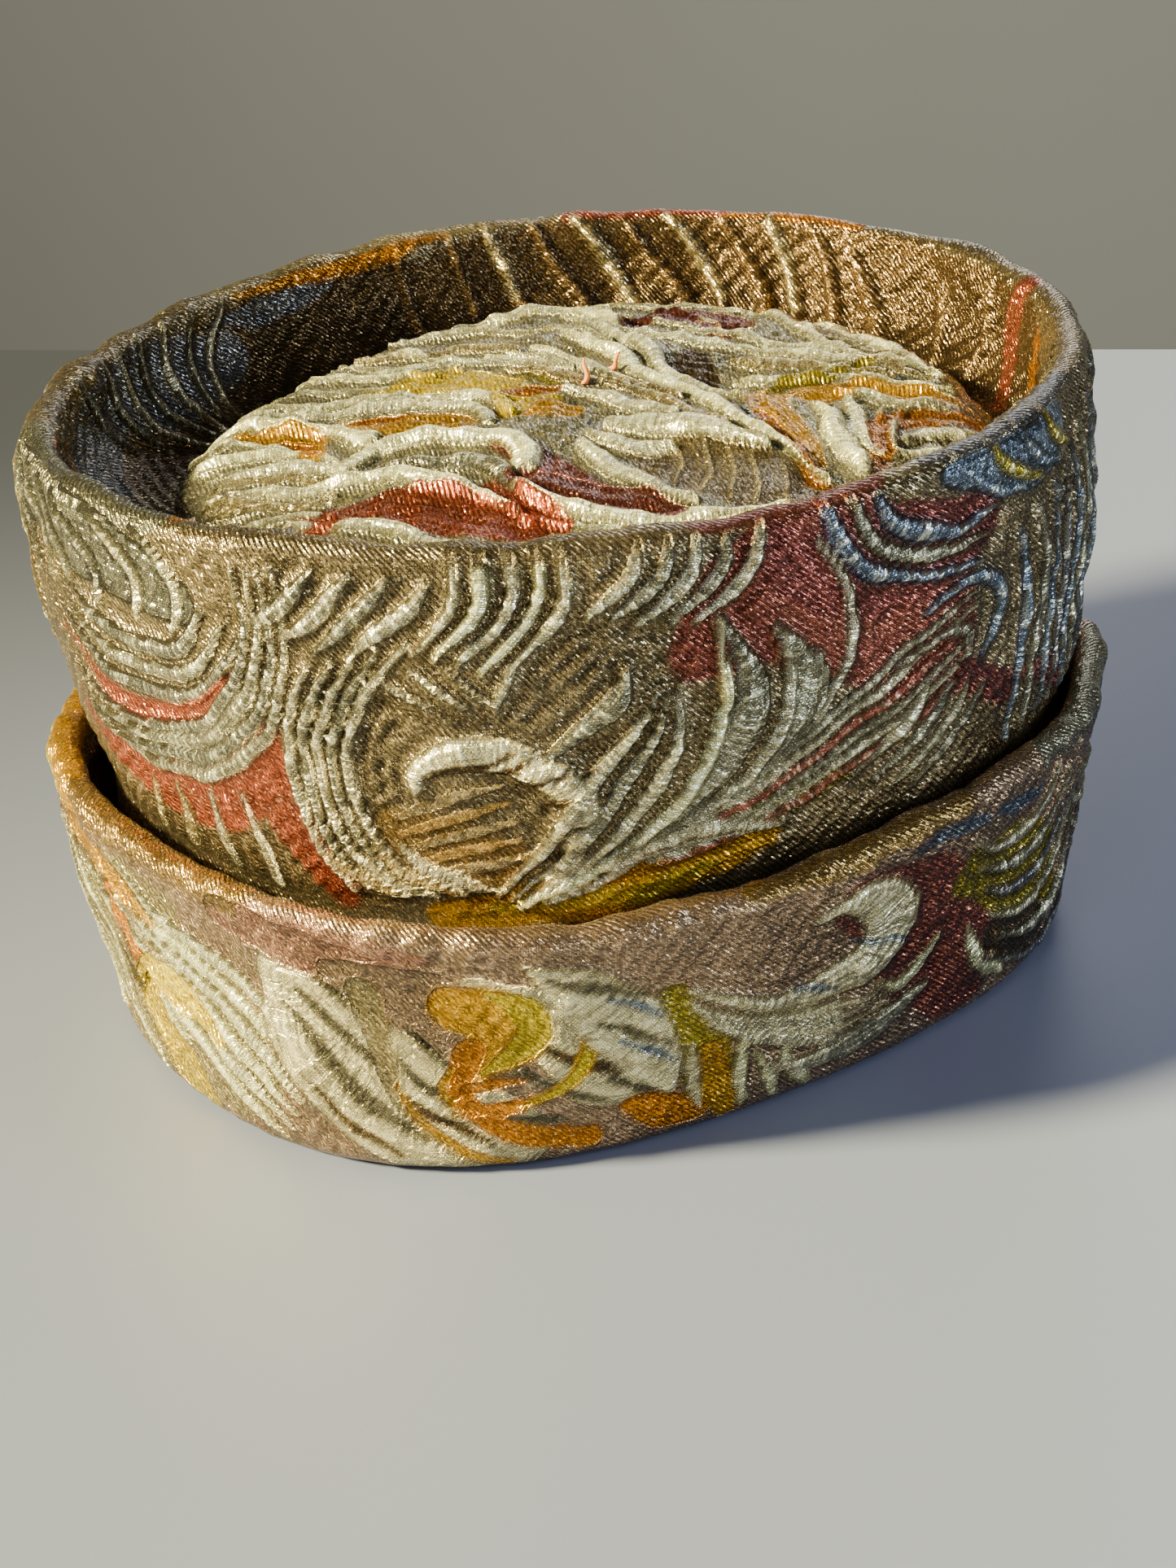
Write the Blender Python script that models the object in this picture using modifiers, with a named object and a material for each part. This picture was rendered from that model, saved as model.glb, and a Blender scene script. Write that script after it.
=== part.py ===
"""Pillbox hat in padded brocade: a turned-up cuff, a tall side band and a sunken domed crown tip.

Metres, +Z up. The hat rests on its base fold at Z = 0. Its long axis runs along Y, and the
broad end, over the back of the head, is at +Y. A turn is an angle in degrees from the back,
counted anticlockwise as seen from above.
"""

import math
from collections import namedtuple

import bmesh
import bpy
from mathutils import Vector

# Driving dimensions
HAT_HEIGHT = 0.1180
RIM_ROLL = 0.0031
CUFF_CREST = 0.0518
CUFF_ROLL = 0.0031
CUFF_RETURN = 0.009
BAND_WALL = 0.0026
CUFF_WALL = 0.0024
TIP_WALL = 0.0040
GAP = 0.0004

# The base: an outer and an inner fold radius, the whole width of the folded foot, and its facing
BASE_FOLD = 0.005
FACING_FOLD = 0.0028
FOOT_WIDTH = 0.0106
FACING_HEIGHT = 0.014
BAND_FOOT = 0.0053

# Heights of the rows between the folds, close enough for the walls to swell and dent
CUFF_ROWS = (0.021, 0.037)
BAND_ROWS = (0.066, 0.082, 0.098)

# The well inside the rim, down to the ledge that the crown tip is sewn on. Each step is a share
# of the way in from the rim to the tip, and a share of the well's depth
LEDGE_HEIGHT = 0.0926
LEDGE_REACH = 0.007
WellStep = namedtuple("WellStep", "to_tip depth")
WELL_STEPS = [
    WellStep(0.12, 0.42),
    WellStep(0.36, 0.76),
    WellStep(0.70, 0.94),
    WellStep(1.00, 1.00),
]

# The crown tip: its edge is tucked under, is fullest above the tuck, and turns in at the shoulder
TIP_CENTRE_HEIGHT = 0.1098
TIP_SHOULDER_HEIGHT = 0.1046
TIP_FULLEST_HEIGHT = 0.0995
TIP_TUCK_SHARE = 0.972
TIP_SHOULDER_SHARE = 0.97
TIP_SHOULDER_DROP = 0.0022
TIP_ROWS = (0.89, 0.73, 0.52, 0.28, 0.0)
TIP_DOME_POWER = 2.2

# Plan outlines are ovals, squared by this power and broader at the back by this share
OVAL_POWER = 2.2
BACK_BROADER = 0.10

# One row for each outline. half_length runs along Y and half_width along X. shift_side and
# shift_back move the oval off centre. The cloth is pulled out of round in three and four soft
# corners: three and four are how far, three_at and four_at the turn of the first corner.
Outline = namedtuple("Outline", "half_length half_width shift_side shift_back three three_at four four_at")
BASE_LINE = Outline(0.0998, 0.0866, 0.0000, 0.0000, 0.0010, 53.0, 0.0018, 34.0)
CREST_LINE = Outline(0.1065, 0.0926, 0.0004, 0.0011, 0.0011, 6.0, 0.0018, 43.0)
SEAT_LINE = Outline(0.0964, 0.0829, 0.0020, 0.0019, 0.0008, 6.0, 0.0012, 43.0)
RIM_LINE = Outline(0.1039, 0.0900, -0.0051, 0.0045, 0.0013, 0.0, 0.0010, 3.0)
TIP_LINE = Outline(0.0810, 0.0684, 0.0017, 0.0047, 0.0011, 46.0, 0.0000, 0.0)

# How far the band swells out, and the cuff sinks in, half way up
BAND_BELLY = 0.0031
CUFF_HOLLOW = 0.0006

# The rim and the cuff's crest are not level. Each row is so many waves round the hat, with how
# far they rise and the turn of the first crest
Wave = namedtuple("Wave", "waves rise crest_at")
RIM_WAVES = [
    Wave(1, 0.0013, 7.0),
    Wave(2, 0.0007, 0.0),
    Wave(3, 0.0004, 74.0),
]
CREST_WAVES = [
    Wave(1, 0.0008, 71.0),
    Wave(2, 0.0008, -12.0),
]

# Broad bulges and dents of a wall: where they lie, how far they spread, and how far they push out
Bulge = namedtuple("Bulge", "turn height turn_spread height_spread push")
BAND_BULGES = [
    Bulge(134.0, 0.098, 26.0, 0.020, 0.0016),
    Bulge(205.0, 0.094, 16.0, 0.016, -0.0010),
    Bulge(245.0, 0.078, 20.0, 0.022, 0.0010),
    Bulge(300.0, 0.096, 18.0, 0.016, -0.0009),
    Bulge(30.0, 0.086, 24.0, 0.022, 0.0009),
]
CUFF_BULGES = [
    Bulge(150.0, 0.030, 18.0, 0.014, 0.0012),
    Bulge(190.0, 0.036, 14.0, 0.012, -0.0009),
    Bulge(228.0, 0.024, 20.0, 0.012, 0.0010),
    Bulge(286.0, 0.034, 18.0, 0.014, -0.0010),
    Bulge(20.0, 0.028, 26.0, 0.014, 0.0009),
]

# Gathers, where the cloth is pulled tight: their middle, half their span, the pleats and the depth
Gather = namedtuple("Gather", "turn half_span pleats depth")
WELL_GATHERS = [
    Gather(28.0, 30.0, 4, 0.0017),
    Gather(78.0, 26.0, 3, 0.0008),
    Gather(250.0, 40.0, 4, 0.0007),
]
CREST_GATHERS = [
    Gather(318.0, 32.0, 3, 0.0007),
    Gather(120.0, 36.0, 3, 0.0006),
]

# Puffs and dents of the crown tip, placed as shares of its half width (side) and half length (back)
Puff = namedtuple("Puff", "side back spread rise")
TIP_PUFFS = [
    Puff(-0.30, 0.35, 0.016, 0.0014),
    Puff(0.18, 0.30, 0.009, -0.0022),
    Puff(-0.52, -0.30, 0.011, -0.0014),
    Puff(-0.05, -0.35, 0.018, 0.0012),
    Puff(0.45, 0.55, 0.015, 0.0010),
    Puff(0.50, -0.15, 0.014, -0.0010),
]

# How many facets go round each piece, and over a roll of its edge and round a fold of its foot
BAND_SEGMENTS = 96
CUFF_SEGMENTS = 68
TIP_SEGMENTS = 60
ROLL_STEPS = 4
BASE_FOLD_STEPS = 3
FACING_FOLD_STEPS = 2

# Colour, roughness and metallic value of each piece's cloth
Cloth = namedtuple("Cloth", "colour roughness metallic")
TIP_CLOTH = Cloth((0.60, 0.52, 0.36, 1.0), 0.42, 0.35)
BAND_CLOTH = Cloth((0.34, 0.26, 0.20, 1.0), 0.45, 0.40)
CUFF_CLOTH = Cloth((0.46, 0.38, 0.27, 1.0), 0.45, 0.35)


def clear_scene():
    for obj in list(bpy.data.objects):
        bpy.data.objects.remove(obj, do_unlink=True)


def signed_power(value, power):
    return math.copysign(abs(value) ** power, value)


def line_point(line, turn):
    """The point of an outline at a turn."""
    angle = math.radians(turn)
    along = signed_power(math.cos(angle), 2 / OVAL_POWER)
    back = line.half_length * along
    side = -line.half_width * signed_power(math.sin(angle), 2 / OVAL_POWER) * (1 + BACK_BROADER * along)
    corners = line.three * math.cos(3 * math.radians(turn - line.three_at))
    corners += line.four * math.cos(4 * math.radians(turn - line.four_at))
    stretch = 1 + corners / math.hypot(side, back)
    return Vector((side * stretch + line.shift_side, back * stretch + line.shift_back))


def outline_point(line, turn, outward=0.0):
    """The point of an outline at a turn, moved outward, square to the outline."""
    along = line_point(line, turn + 1.0) - line_point(line, turn - 1.0)
    return line_point(line, turn) + Vector((along.y, -along.x)).normalized() * outward


def bell(distance):
    """A soft bump: 1 in the middle, about 0 at a distance of 2."""
    return math.exp(-distance * distance)


def hump(share):
    """0 at both ends of a stretch and 1 half way."""
    return 4 * share * (1 - share)


def turn_between(first, second):
    return (first - second + 180.0) % 360.0 - 180.0


def bulge_push(bulges, turn, height):
    push = 0.0
    for bulge in bulges:
        across = turn_between(turn, bulge.turn) / bulge.turn_spread
        along = (height - bulge.height) / bulge.height_spread
        push += bulge.push * bell(across) * bell(along)
    return push


def gather_push(gathers, turn):
    push = 0.0
    for gather in gathers:
        share = turn_between(turn, gather.turn) / gather.half_span
        if abs(share) < 1.0:
            fade = math.cos(share * math.pi / 2)
            push += gather.depth * fade * math.cos(share * math.pi * gather.pleats)
    return push


def wave_rise(waves, turn):
    return sum(wave.rise * math.cos(math.radians(wave.waves * (turn - wave.crest_at))) for wave in waves)


def arc(centre_outward, centre_height, radius, start, end, steps):
    """Points on an arc of a wall's section, as (outward, height). 0 degrees points outward, 90 up."""
    points = []
    for step in range(steps + 1):
        angle = math.radians(start + (end - start) * step / steps)
        outward = centre_outward + radius * math.cos(angle)
        points.append((outward, centre_height + radius * math.sin(angle)))
    return points


def turned_sheet(section, segments, place):
    """Spin an open section, its face on the right, once round Z, and put each point where place() says."""
    mesh = bmesh.new()
    row_height = 0.001
    verts = [mesh.verts.new((1.0, 0.0, row_height * row)) for row in range(len(section))]
    edges = [mesh.edges.new(pair) for pair in zip(verts, verts[1:])]
    bmesh.ops.spin(mesh, geom=verts + edges, cent=(0, 0, 0), axis=(0, 0, 1), angle=-math.tau,
                   steps=segments, use_merge=True)
    for vert in mesh.verts:
        turn = math.degrees(math.atan2(-vert.co.x, vert.co.y))
        row = round(vert.co.z / row_height)
        vert.co = place(turn, section[row])
    return mesh


def finish_piece(name, mesh, wall, cloth, collection):
    """Make the sheet an object, give it its thickness on the hidden side, and dress it."""
    bmesh.ops.remove_doubles(mesh, verts=mesh.verts, dist=1e-6)
    data = bpy.data.meshes.new(name)
    mesh.to_mesh(data)
    mesh.free()
    data.shade_smooth()
    obj = bpy.data.objects.new(name, data)
    collection.objects.link(obj)
    solidify = obj.modifiers.new("cloth thickness", "SOLIDIFY")
    solidify.thickness = wall
    solidify.offset = -1.0
    solidify.use_even_offset = True
    solidify.use_quality_normals = True
    data.materials.append(cloth_material(name, cloth))
    return obj


def cloth_material(name, cloth):
    material = bpy.data.materials.new(name + " cloth")
    material.use_nodes = True
    shader = material.node_tree.nodes["Principled BSDF"]
    shader.inputs["Base Color"].default_value = cloth.colour
    shader.inputs["Roughness"].default_value = cloth.roughness
    shader.inputs["Metallic"].default_value = cloth.metallic
    return material


def cuff_point(turn, station):
    """A point of the cuff's face: outward from its own outline, which leans out from base to crest."""
    outward, height = station
    rise = (height - BASE_FOLD) / (CUFF_CREST - BASE_FOLD)
    rise = max(0.0, min(1.0, rise))
    low = outline_point(BASE_LINE, turn, outward)
    high = outline_point(CREST_LINE, turn, outward)
    spot = low.lerp(high, rise)
    push = -CUFF_HOLLOW * hump(rise)
    if height > FACING_HEIGHT:
        push += bulge_push(CUFF_BULGES, turn, height)
        push += gather_push(CREST_GATHERS, turn) * rise ** 3
    spot += spot.normalized() * push
    return Vector((spot.x, spot.y, height + wave_rise(CREST_WAVES, turn) * rise))


def make_cuff(collection):
    """A folded strip: up the facing inside, round the foot, up the outer wall and over at its crest."""
    facing = -FOOT_WIDTH
    section = [(facing, FACING_HEIGHT)]
    section += arc(facing + FACING_FOLD, FACING_FOLD, FACING_FOLD, 180, 270, FACING_FOLD_STEPS)
    section += arc(-BASE_FOLD, BASE_FOLD, BASE_FOLD, 270, 360, BASE_FOLD_STEPS)
    section += [(0.0, height) for height in CUFF_ROWS]
    section += arc(-CUFF_ROLL, CUFF_CREST, CUFF_ROLL, 0, 180, ROLL_STEPS)
    section.append((-2 * CUFF_WALL - GAP, CUFF_CREST - CUFF_RETURN))
    mesh = turned_sheet(section, CUFF_SEGMENTS, cuff_point)
    return finish_piece("cuff", mesh, CUFF_WALL, CUFF_CLOTH, collection)


def band_wall_point(turn, outward, height):
    """A point of the band's outer wall: hidden inside the cuff below the seat, swelling above it."""
    seat = outline_point(SEAT_LINE, turn, outward)
    if height < CUFF_CREST:
        foot = outline_point(BASE_LINE, turn, outward - CUFF_WALL - GAP)
        return foot.lerp(seat, (height - BASE_FOLD) / (CUFF_CREST - BASE_FOLD))
    rim_height = HAT_HEIGHT - RIM_ROLL
    rise = min(1.0, (height - CUFF_CREST) / (rim_height - CUFF_CREST))
    spot = seat.lerp(outline_point(RIM_LINE, turn, outward), rise)
    push = BAND_BELLY * hump(rise) + bulge_push(BAND_BULGES, turn, height)
    return spot + spot.normalized() * push


def band_point(turn, station):
    """A point of the band's face. The last part of its section runs from the rim to the tip's ledge."""
    outward, height, to_tip = station
    spot = band_wall_point(turn, outward, height)
    if to_tip > 0.0:
        ledge = outline_point(TIP_LINE, turn, GAP - LEDGE_REACH * max(0.0, to_tip - 1.0))
        spot = spot.lerp(ledge, min(1.0, to_tip))
        spot += spot.normalized() * gather_push(WELL_GATHERS, turn) * math.sin(math.pi * min(1.0, to_tip))
    level = LEDGE_HEIGHT if to_tip > 0.0 else CUFF_CREST
    lift = max(0.0, (height - level) / (HAT_HEIGHT - level))
    return Vector((spot.x, spot.y, height + wave_rise(RIM_WAVES, turn) * lift))


def make_side_band(collection):
    """A tall strip: up the outer wall, over the padded rim, down the well and in under the tip."""
    rim_height = HAT_HEIGHT - RIM_ROLL
    well_depth = rim_height - LEDGE_HEIGHT
    section = [(0.0, height, 0.0) for height in (BAND_FOOT, CUFF_CREST) + BAND_ROWS]
    section += [spot + (0.0,) for spot in arc(-RIM_ROLL, rim_height, RIM_ROLL, 0, 180, ROLL_STEPS)]
    for step in WELL_STEPS:
        section.append((-2 * RIM_ROLL, rim_height - step.depth * well_depth, step.to_tip))
    section.append((-2 * RIM_ROLL, LEDGE_HEIGHT, 2.0))
    mesh = turned_sheet(section, BAND_SEGMENTS, band_point)
    return finish_piece("side_band", mesh, BAND_WALL, BAND_CLOTH, collection)


def tip_point(turn, station):
    """A point of the crown tip's face, at a share of the way from its middle to its outline."""
    share, height = station
    centre = Vector((TIP_LINE.shift_side, TIP_LINE.shift_back))
    spot = centre.lerp(line_point(TIP_LINE, turn), share)
    if height > TIP_FULLEST_HEIGHT:
        for puff in TIP_PUFFS:
            middle = centre + Vector((puff.side * TIP_LINE.half_width, puff.back * TIP_LINE.half_length))
            height += puff.rise * bell((spot - middle).length / puff.spread)
    return Vector((spot.x, spot.y, height))


def make_crown_tip(collection):
    """A padded dome: up from the tuck on the band's ledge, round a full edge and in to the middle."""
    dome = TIP_CENTRE_HEIGHT - TIP_SHOULDER_HEIGHT
    section = [
        (TIP_TUCK_SHARE, LEDGE_HEIGHT + GAP),
        (1.0, TIP_FULLEST_HEIGHT),
        (TIP_SHOULDER_SHARE, TIP_SHOULDER_HEIGHT - TIP_SHOULDER_DROP),
    ]
    section += [(share, TIP_CENTRE_HEIGHT - dome * share ** TIP_DOME_POWER) for share in TIP_ROWS]
    mesh = turned_sheet(section, TIP_SEGMENTS, tip_point)
    return finish_piece("crown_tip", mesh, TIP_WALL, TIP_CLOTH, collection)


def centre_on_base(pieces):
    """Move all pieces together, so that the hat's box is centred on the origin."""
    bpy.context.view_layer.update()
    graph = bpy.context.evaluated_depsgraph_get()
    corners = []
    for piece in pieces:
        corners += [vert.co.copy() for vert in piece.evaluated_get(graph).data.vertices]
    middle_side = (min(c.x for c in corners) + max(c.x for c in corners)) / 2
    middle_back = (min(c.y for c in corners) + max(c.y for c in corners)) / 2
    for piece in pieces:
        piece.location = (-middle_side, -middle_back, 0.0)


def build_hat():
    clear_scene()
    collection = bpy.data.collections.new("pillbox hat")
    bpy.context.scene.collection.children.link(collection)
    pieces = [make_cuff(collection), make_side_band(collection), make_crown_tip(collection)]
    centre_on_base(pieces)


build_hat()
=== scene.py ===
"""Pillbox hat in padded brocade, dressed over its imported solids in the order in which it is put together."""
import math
from collections import namedtuple

import bmesh
import bpy
import numpy as np
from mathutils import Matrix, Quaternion, Vector


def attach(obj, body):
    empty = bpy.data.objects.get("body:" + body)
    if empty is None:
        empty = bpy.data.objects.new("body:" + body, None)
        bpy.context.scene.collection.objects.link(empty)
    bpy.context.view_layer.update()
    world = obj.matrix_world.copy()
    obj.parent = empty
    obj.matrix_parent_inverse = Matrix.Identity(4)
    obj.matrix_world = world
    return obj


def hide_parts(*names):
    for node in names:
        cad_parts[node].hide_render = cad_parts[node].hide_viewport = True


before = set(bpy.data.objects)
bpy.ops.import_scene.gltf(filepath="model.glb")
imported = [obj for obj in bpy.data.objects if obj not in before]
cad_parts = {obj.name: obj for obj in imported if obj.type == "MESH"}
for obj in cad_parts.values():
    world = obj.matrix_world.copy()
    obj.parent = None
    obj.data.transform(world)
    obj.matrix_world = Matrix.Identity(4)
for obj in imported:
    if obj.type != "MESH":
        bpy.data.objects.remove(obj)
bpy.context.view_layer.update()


# Cuff
# A strip of padded brocade folded at the foot and turned up round the hat, with a rolled, slightly
# puckered crest and a short return inside. It is sewn to the band at the foot.
CUFF_CREST = 0.0518
CUFF_ROLL = 0.0031
CUFF_RETURN = 0.009
CUFF_WALL = 0.0024
GAP = 0.0004
BASE_FOLD = 0.005
FACING_FOLD = 0.0028
FOOT_WIDTH = 0.0106
FACING_HEIGHT = 0.014
OVAL_POWER = 2.2
BACK_BROADER = 0.10
CUFF_HOLLOW = 0.0006
HAT_SHIFT = (0.00215, -0.00412)
MM_PER_DEGREE = 1.66
FIRST_TURN = 0.01
WELD = 1e-7

Outline = namedtuple("Outline", "half_length half_width shift_side shift_back three three_at four four_at")
BASE_LINE = Outline(0.0998, 0.0866, 0.0000, 0.0000, 0.0010, 53.0, 0.0018, 34.0)
CREST_LINE = Outline(0.1065, 0.0926, 0.0004, 0.0011, 0.0011, 6.0, 0.0018, 43.0)
Wave = namedtuple("Wave", "waves rise crest_at")
CREST_WAVES = [Wave(1, 0.0008, 71.0), Wave(2, 0.0008, -12.0)]
Bulge = namedtuple("Bulge", "turn height turn_spread height_spread push")
CUFF_BULGES = [
    Bulge(150.0, 0.030, 18.0, 0.014, 0.0012),
    Bulge(190.0, 0.036, 14.0, 0.012, -0.0009),
    Bulge(228.0, 0.024, 20.0, 0.012, 0.0010),
    Bulge(286.0, 0.034, 18.0, 0.014, -0.0010),
    Bulge(20.0, 0.028, 26.0, 0.014, 0.0009),
]
Gather = namedtuple("Gather", "turn half_span pleats depth")
CREST_GATHERS = [Gather(318.0, 32.0, 3, 0.0007), Gather(120.0, 36.0, 3, 0.0006)]


def signed_power(value, power):
    return np.sign(value) * np.abs(value) ** power


def line_points(line, turns):
    """Points of an outline, in plan, at an array of turns in degrees from the back."""
    angle = np.radians(turns)
    along = signed_power(np.cos(angle), 2 / OVAL_POWER)
    back = line.half_length * along
    side = -line.half_width * signed_power(np.sin(angle), 2 / OVAL_POWER) * (1 + BACK_BROADER * along)
    corners = line.three * np.cos(3 * np.radians(turns - line.three_at))
    corners += line.four * np.cos(4 * np.radians(turns - line.four_at))
    stretch = 1 + corners / np.hypot(side, back)
    return np.stack([side * stretch + line.shift_side, back * stretch + line.shift_back], axis=1)


def outline_points(line, turns, outward=0.0):
    """Points of an outline, moved outward, square to it."""
    ahead = line_points(line, turns + 1.0) - line_points(line, turns - 1.0)
    square = np.stack([ahead[:, 1], -ahead[:, 0]], axis=1)
    return line_points(line, turns) + square / np.linalg.norm(square, axis=1)[:, None] * outward


def bell(distance):
    return np.exp(-distance * distance)


def hump(share):
    return 4 * share * (1 - share)


def turn_between(first, second):
    return (first - second + 180.0) % 360.0 - 180.0


def bulge_push(bulges, turns, height):
    return sum(bulge.push * bell(turn_between(turns, bulge.turn) / bulge.turn_spread)
               * bell((height - bulge.height) / bulge.height_spread) for bulge in bulges)


def gather_push(gathers, turns):
    push = np.zeros_like(turns)
    for gather in gathers:
        share = np.clip(turn_between(turns, gather.turn) / gather.half_span, -1, 1)
        push += gather.depth * np.cos(share * np.pi / 2) * np.cos(share * np.pi * gather.pleats)
    return push


def wave_rise(waves, turns):
    return sum(wave.rise * np.cos(np.radians(wave.waves * (turns - wave.crest_at))) for wave in waves)


def push_out(spots, push):
    return spots + spots / np.linalg.norm(spots, axis=1)[:, None] * np.reshape(push, (-1, 1))


def arc(centre_outward, centre_height, radius, start, end, steps):
    """Points on an arc of a wall's section, as (outward, height). 0 degrees points outward, 90 up."""
    angles = np.radians(np.linspace(start, end, steps + 1))
    return [(centre_outward + radius * math.cos(a), centre_height + radius * math.sin(a)) for a in angles]


def rows_between(low, high, step):
    """Evenly spaced stations from the first to just before the last."""
    count = max(1, round(math.dist(low, high) / step))
    return [tuple(np.array(low) + (np.array(high) - np.array(low)) * i / count) for i in range(count)]


def spun_shell(name, section, segments, place_row):
    """A closed shell: a grid rolled round Z onto its outlines, with its ends, sides and poles welded."""
    sheet = bmesh.new()
    bmesh.ops.create_grid(sheet, x_segments=segments, y_segments=len(section), size=1.0)
    data = bpy.data.meshes.new(name)
    sheet.to_mesh(data)
    flat = read_points(data)
    column = np.round((flat[:, 0] + 1) / 2 * segments).astype(int) % segments
    row = np.round((flat[:, 1] + 1) / 2 * len(section)).astype(int) % len(section)
    turns = np.arange(segments) * 360.0 / segments + FIRST_TURN
    grid = np.stack([place_row(turns, station) for station in section], axis=1)
    grid[:, :, :2] += HAT_SHIFT
    write_points(data, grid[column, row])
    write_values(data, "turn", turns[column])
    write_values(data, "row", row)
    sheet.clear()
    sheet.from_mesh(data)
    bmesh.ops.remove_doubles(sheet, verts=sheet.verts, dist=WELD)
    sheet.to_mesh(data)
    sheet.free()
    return data, read_values(data, "turn"), read_values(data, "row").astype(int)


def write_values(data, name, values):
    layer = data.attributes.new(name, "FLOAT", "POINT")
    layer.data.foreach_set("value", np.asarray(values, dtype=np.float32))


def read_values(data, name):
    values = np.empty(len(data.vertices), dtype=np.float32)
    data.attributes[name].data.foreach_get("value", values)
    return values.astype(float)


def read_points(data):
    points = np.empty(len(data.vertices) * 3, dtype=np.float32)
    data.vertices.foreach_get("co", points)
    return points.reshape(-1, 3).astype(float)


def write_points(data, points):
    data.vertices.foreach_set("co", points.astype(np.float32).ravel())
    data.update()


def read_normals(data):
    normals = np.empty(len(data.vertices) * 3, dtype=np.float32)
    data.vertex_normals.foreach_get("vector", normals)
    return normals.reshape(-1, 3).astype(float)


# The brocade is charted in strokes: smooth tapered shapes, each with its dye, how far it is puffed up,
# its widths at even shares of its length, and its path. All are in millimetres on the cloth, except
# that a path on the cuff or the band starts each pair with degrees of turn from the back.
DYES = {
    "taupe": (0.390, 0.300, 0.155),
    "fawn": (0.580, 0.400, 0.245),
    "bronze": (0.480, 0.310, 0.100),
    "russet": (0.240, 0.155, 0.065),
    "umber": (0.190, 0.125, 0.055),
    "moss": (0.230, 0.200, 0.120),
    "silver": (0.580, 0.525, 0.330),
    "satin": (0.780, 0.690, 0.400),
    "ivory": (0.730, 0.690, 0.420),
    "cream": (0.920, 0.875, 0.480),
    "champagne": (0.560, 0.450, 0.220),
    "pewter": (0.370, 0.340, 0.220),
    # ash: a grey darker than the crescents' own, partly painted shade for the dim left side of the band
    "ash": (0.240, 0.225, 0.160),
    "gold": (0.920, 0.500, 0.008),
    "yellow": (0.940, 0.690, 0.012),
    "orange": (0.900, 0.360, 0.006),
    "olive": (0.520, 0.410, 0.040),
    "coral": (0.620, 0.175, 0.080),
    "rose": (0.400, 0.135, 0.085),
    "burgundy": (0.330, 0.105, 0.075),
    "pink": (0.640, 0.350, 0.230),
    "blue": (0.235, 0.275, 0.310),
    "smoke": (0.250, 0.235, 0.215),
}
Stroke = namedtuple("Stroke", "kind dye rise widths path")


def figure(dye, rise, widths, *path):
    """A raised leaf, scroll or ridge of the figure."""
    return Stroke("figure", dye, rise, widths, path)


def wash(dye, widths, *path):
    """A patch of the ground that is woven with threads of another dye."""
    return Stroke("wash", dye, 0.0, widths, path)


def inlay(dye, widths, *path):
    """A patch of glittering ground let into a figure."""
    return Stroke("inlay", dye, 0.0, widths, path)


def hatch(dye, sink, widths, *path):
    """A dark stitched line, pulled down into the cloth."""
    return Stroke("hatch", dye, -sink, widths, path)


def fold(rise, widths, *path):
    """A soft fold of the whole cloth, with no change of dye."""
    return Stroke("fold", None, rise, widths, path)


def fan(count, dyes, rise, widths, first, last):
    """A spread of ridges whose paths change evenly from the first to the last, their dyes by turns."""
    first, last = np.array(first, dtype=float), np.array(last, dtype=float)
    return [figure(dyes[number % len(dyes)], rise, widths, *(first + (last - first) * number / (count - 1)))
            for number in range(count)]


def smooth_path(path, steps):
    """Points along a smooth curve through the charted ones."""
    knots = np.array(path, dtype=float)
    knots = np.vstack([2 * knots[0] - knots[1], knots, 2 * knots[-1] - knots[-2]])
    points = []
    for before, start, end, after in zip(knots, knots[1:], knots[2:], knots[3:]):
        for share in np.arange(steps) / steps:
            points.append(0.5 * (2 * start + (end - before) * share
                                 + (2 * before - 5 * start + 4 * end - after) * share ** 2
                                 + (3 * start - before - 3 * end + after) * share ** 3))
    return np.array(points + [knots[-2]])


def smooth_step(value, low, high):
    share = np.clip((value - low) / (high - low), 0, 1)
    return share * share * (3 - 2 * share)


ECHO_REACH = 8.0
OTHER_REACH = 1.0
NOWHERE = -9.0
WAVER, WAVER_LENGTH = 0.55, 13.0
GROUND_RUN = (0.2, 0.7)
CURVE_STEPS = 6
THINNEST = 0.3
WASH_SOFTNESS, EDGE_SOFTNESS = 0.7, 0.3
SHOULDER = 3.2
CREASE_DEPTH, CREASE_OUTSIDE, CREASE_WIDTH, CREASE_END = 0.22, 0.5, 0.8, 0.4
INLAY_DEPTH, INLAY_BORDER = 0.2, 1.0


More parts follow.
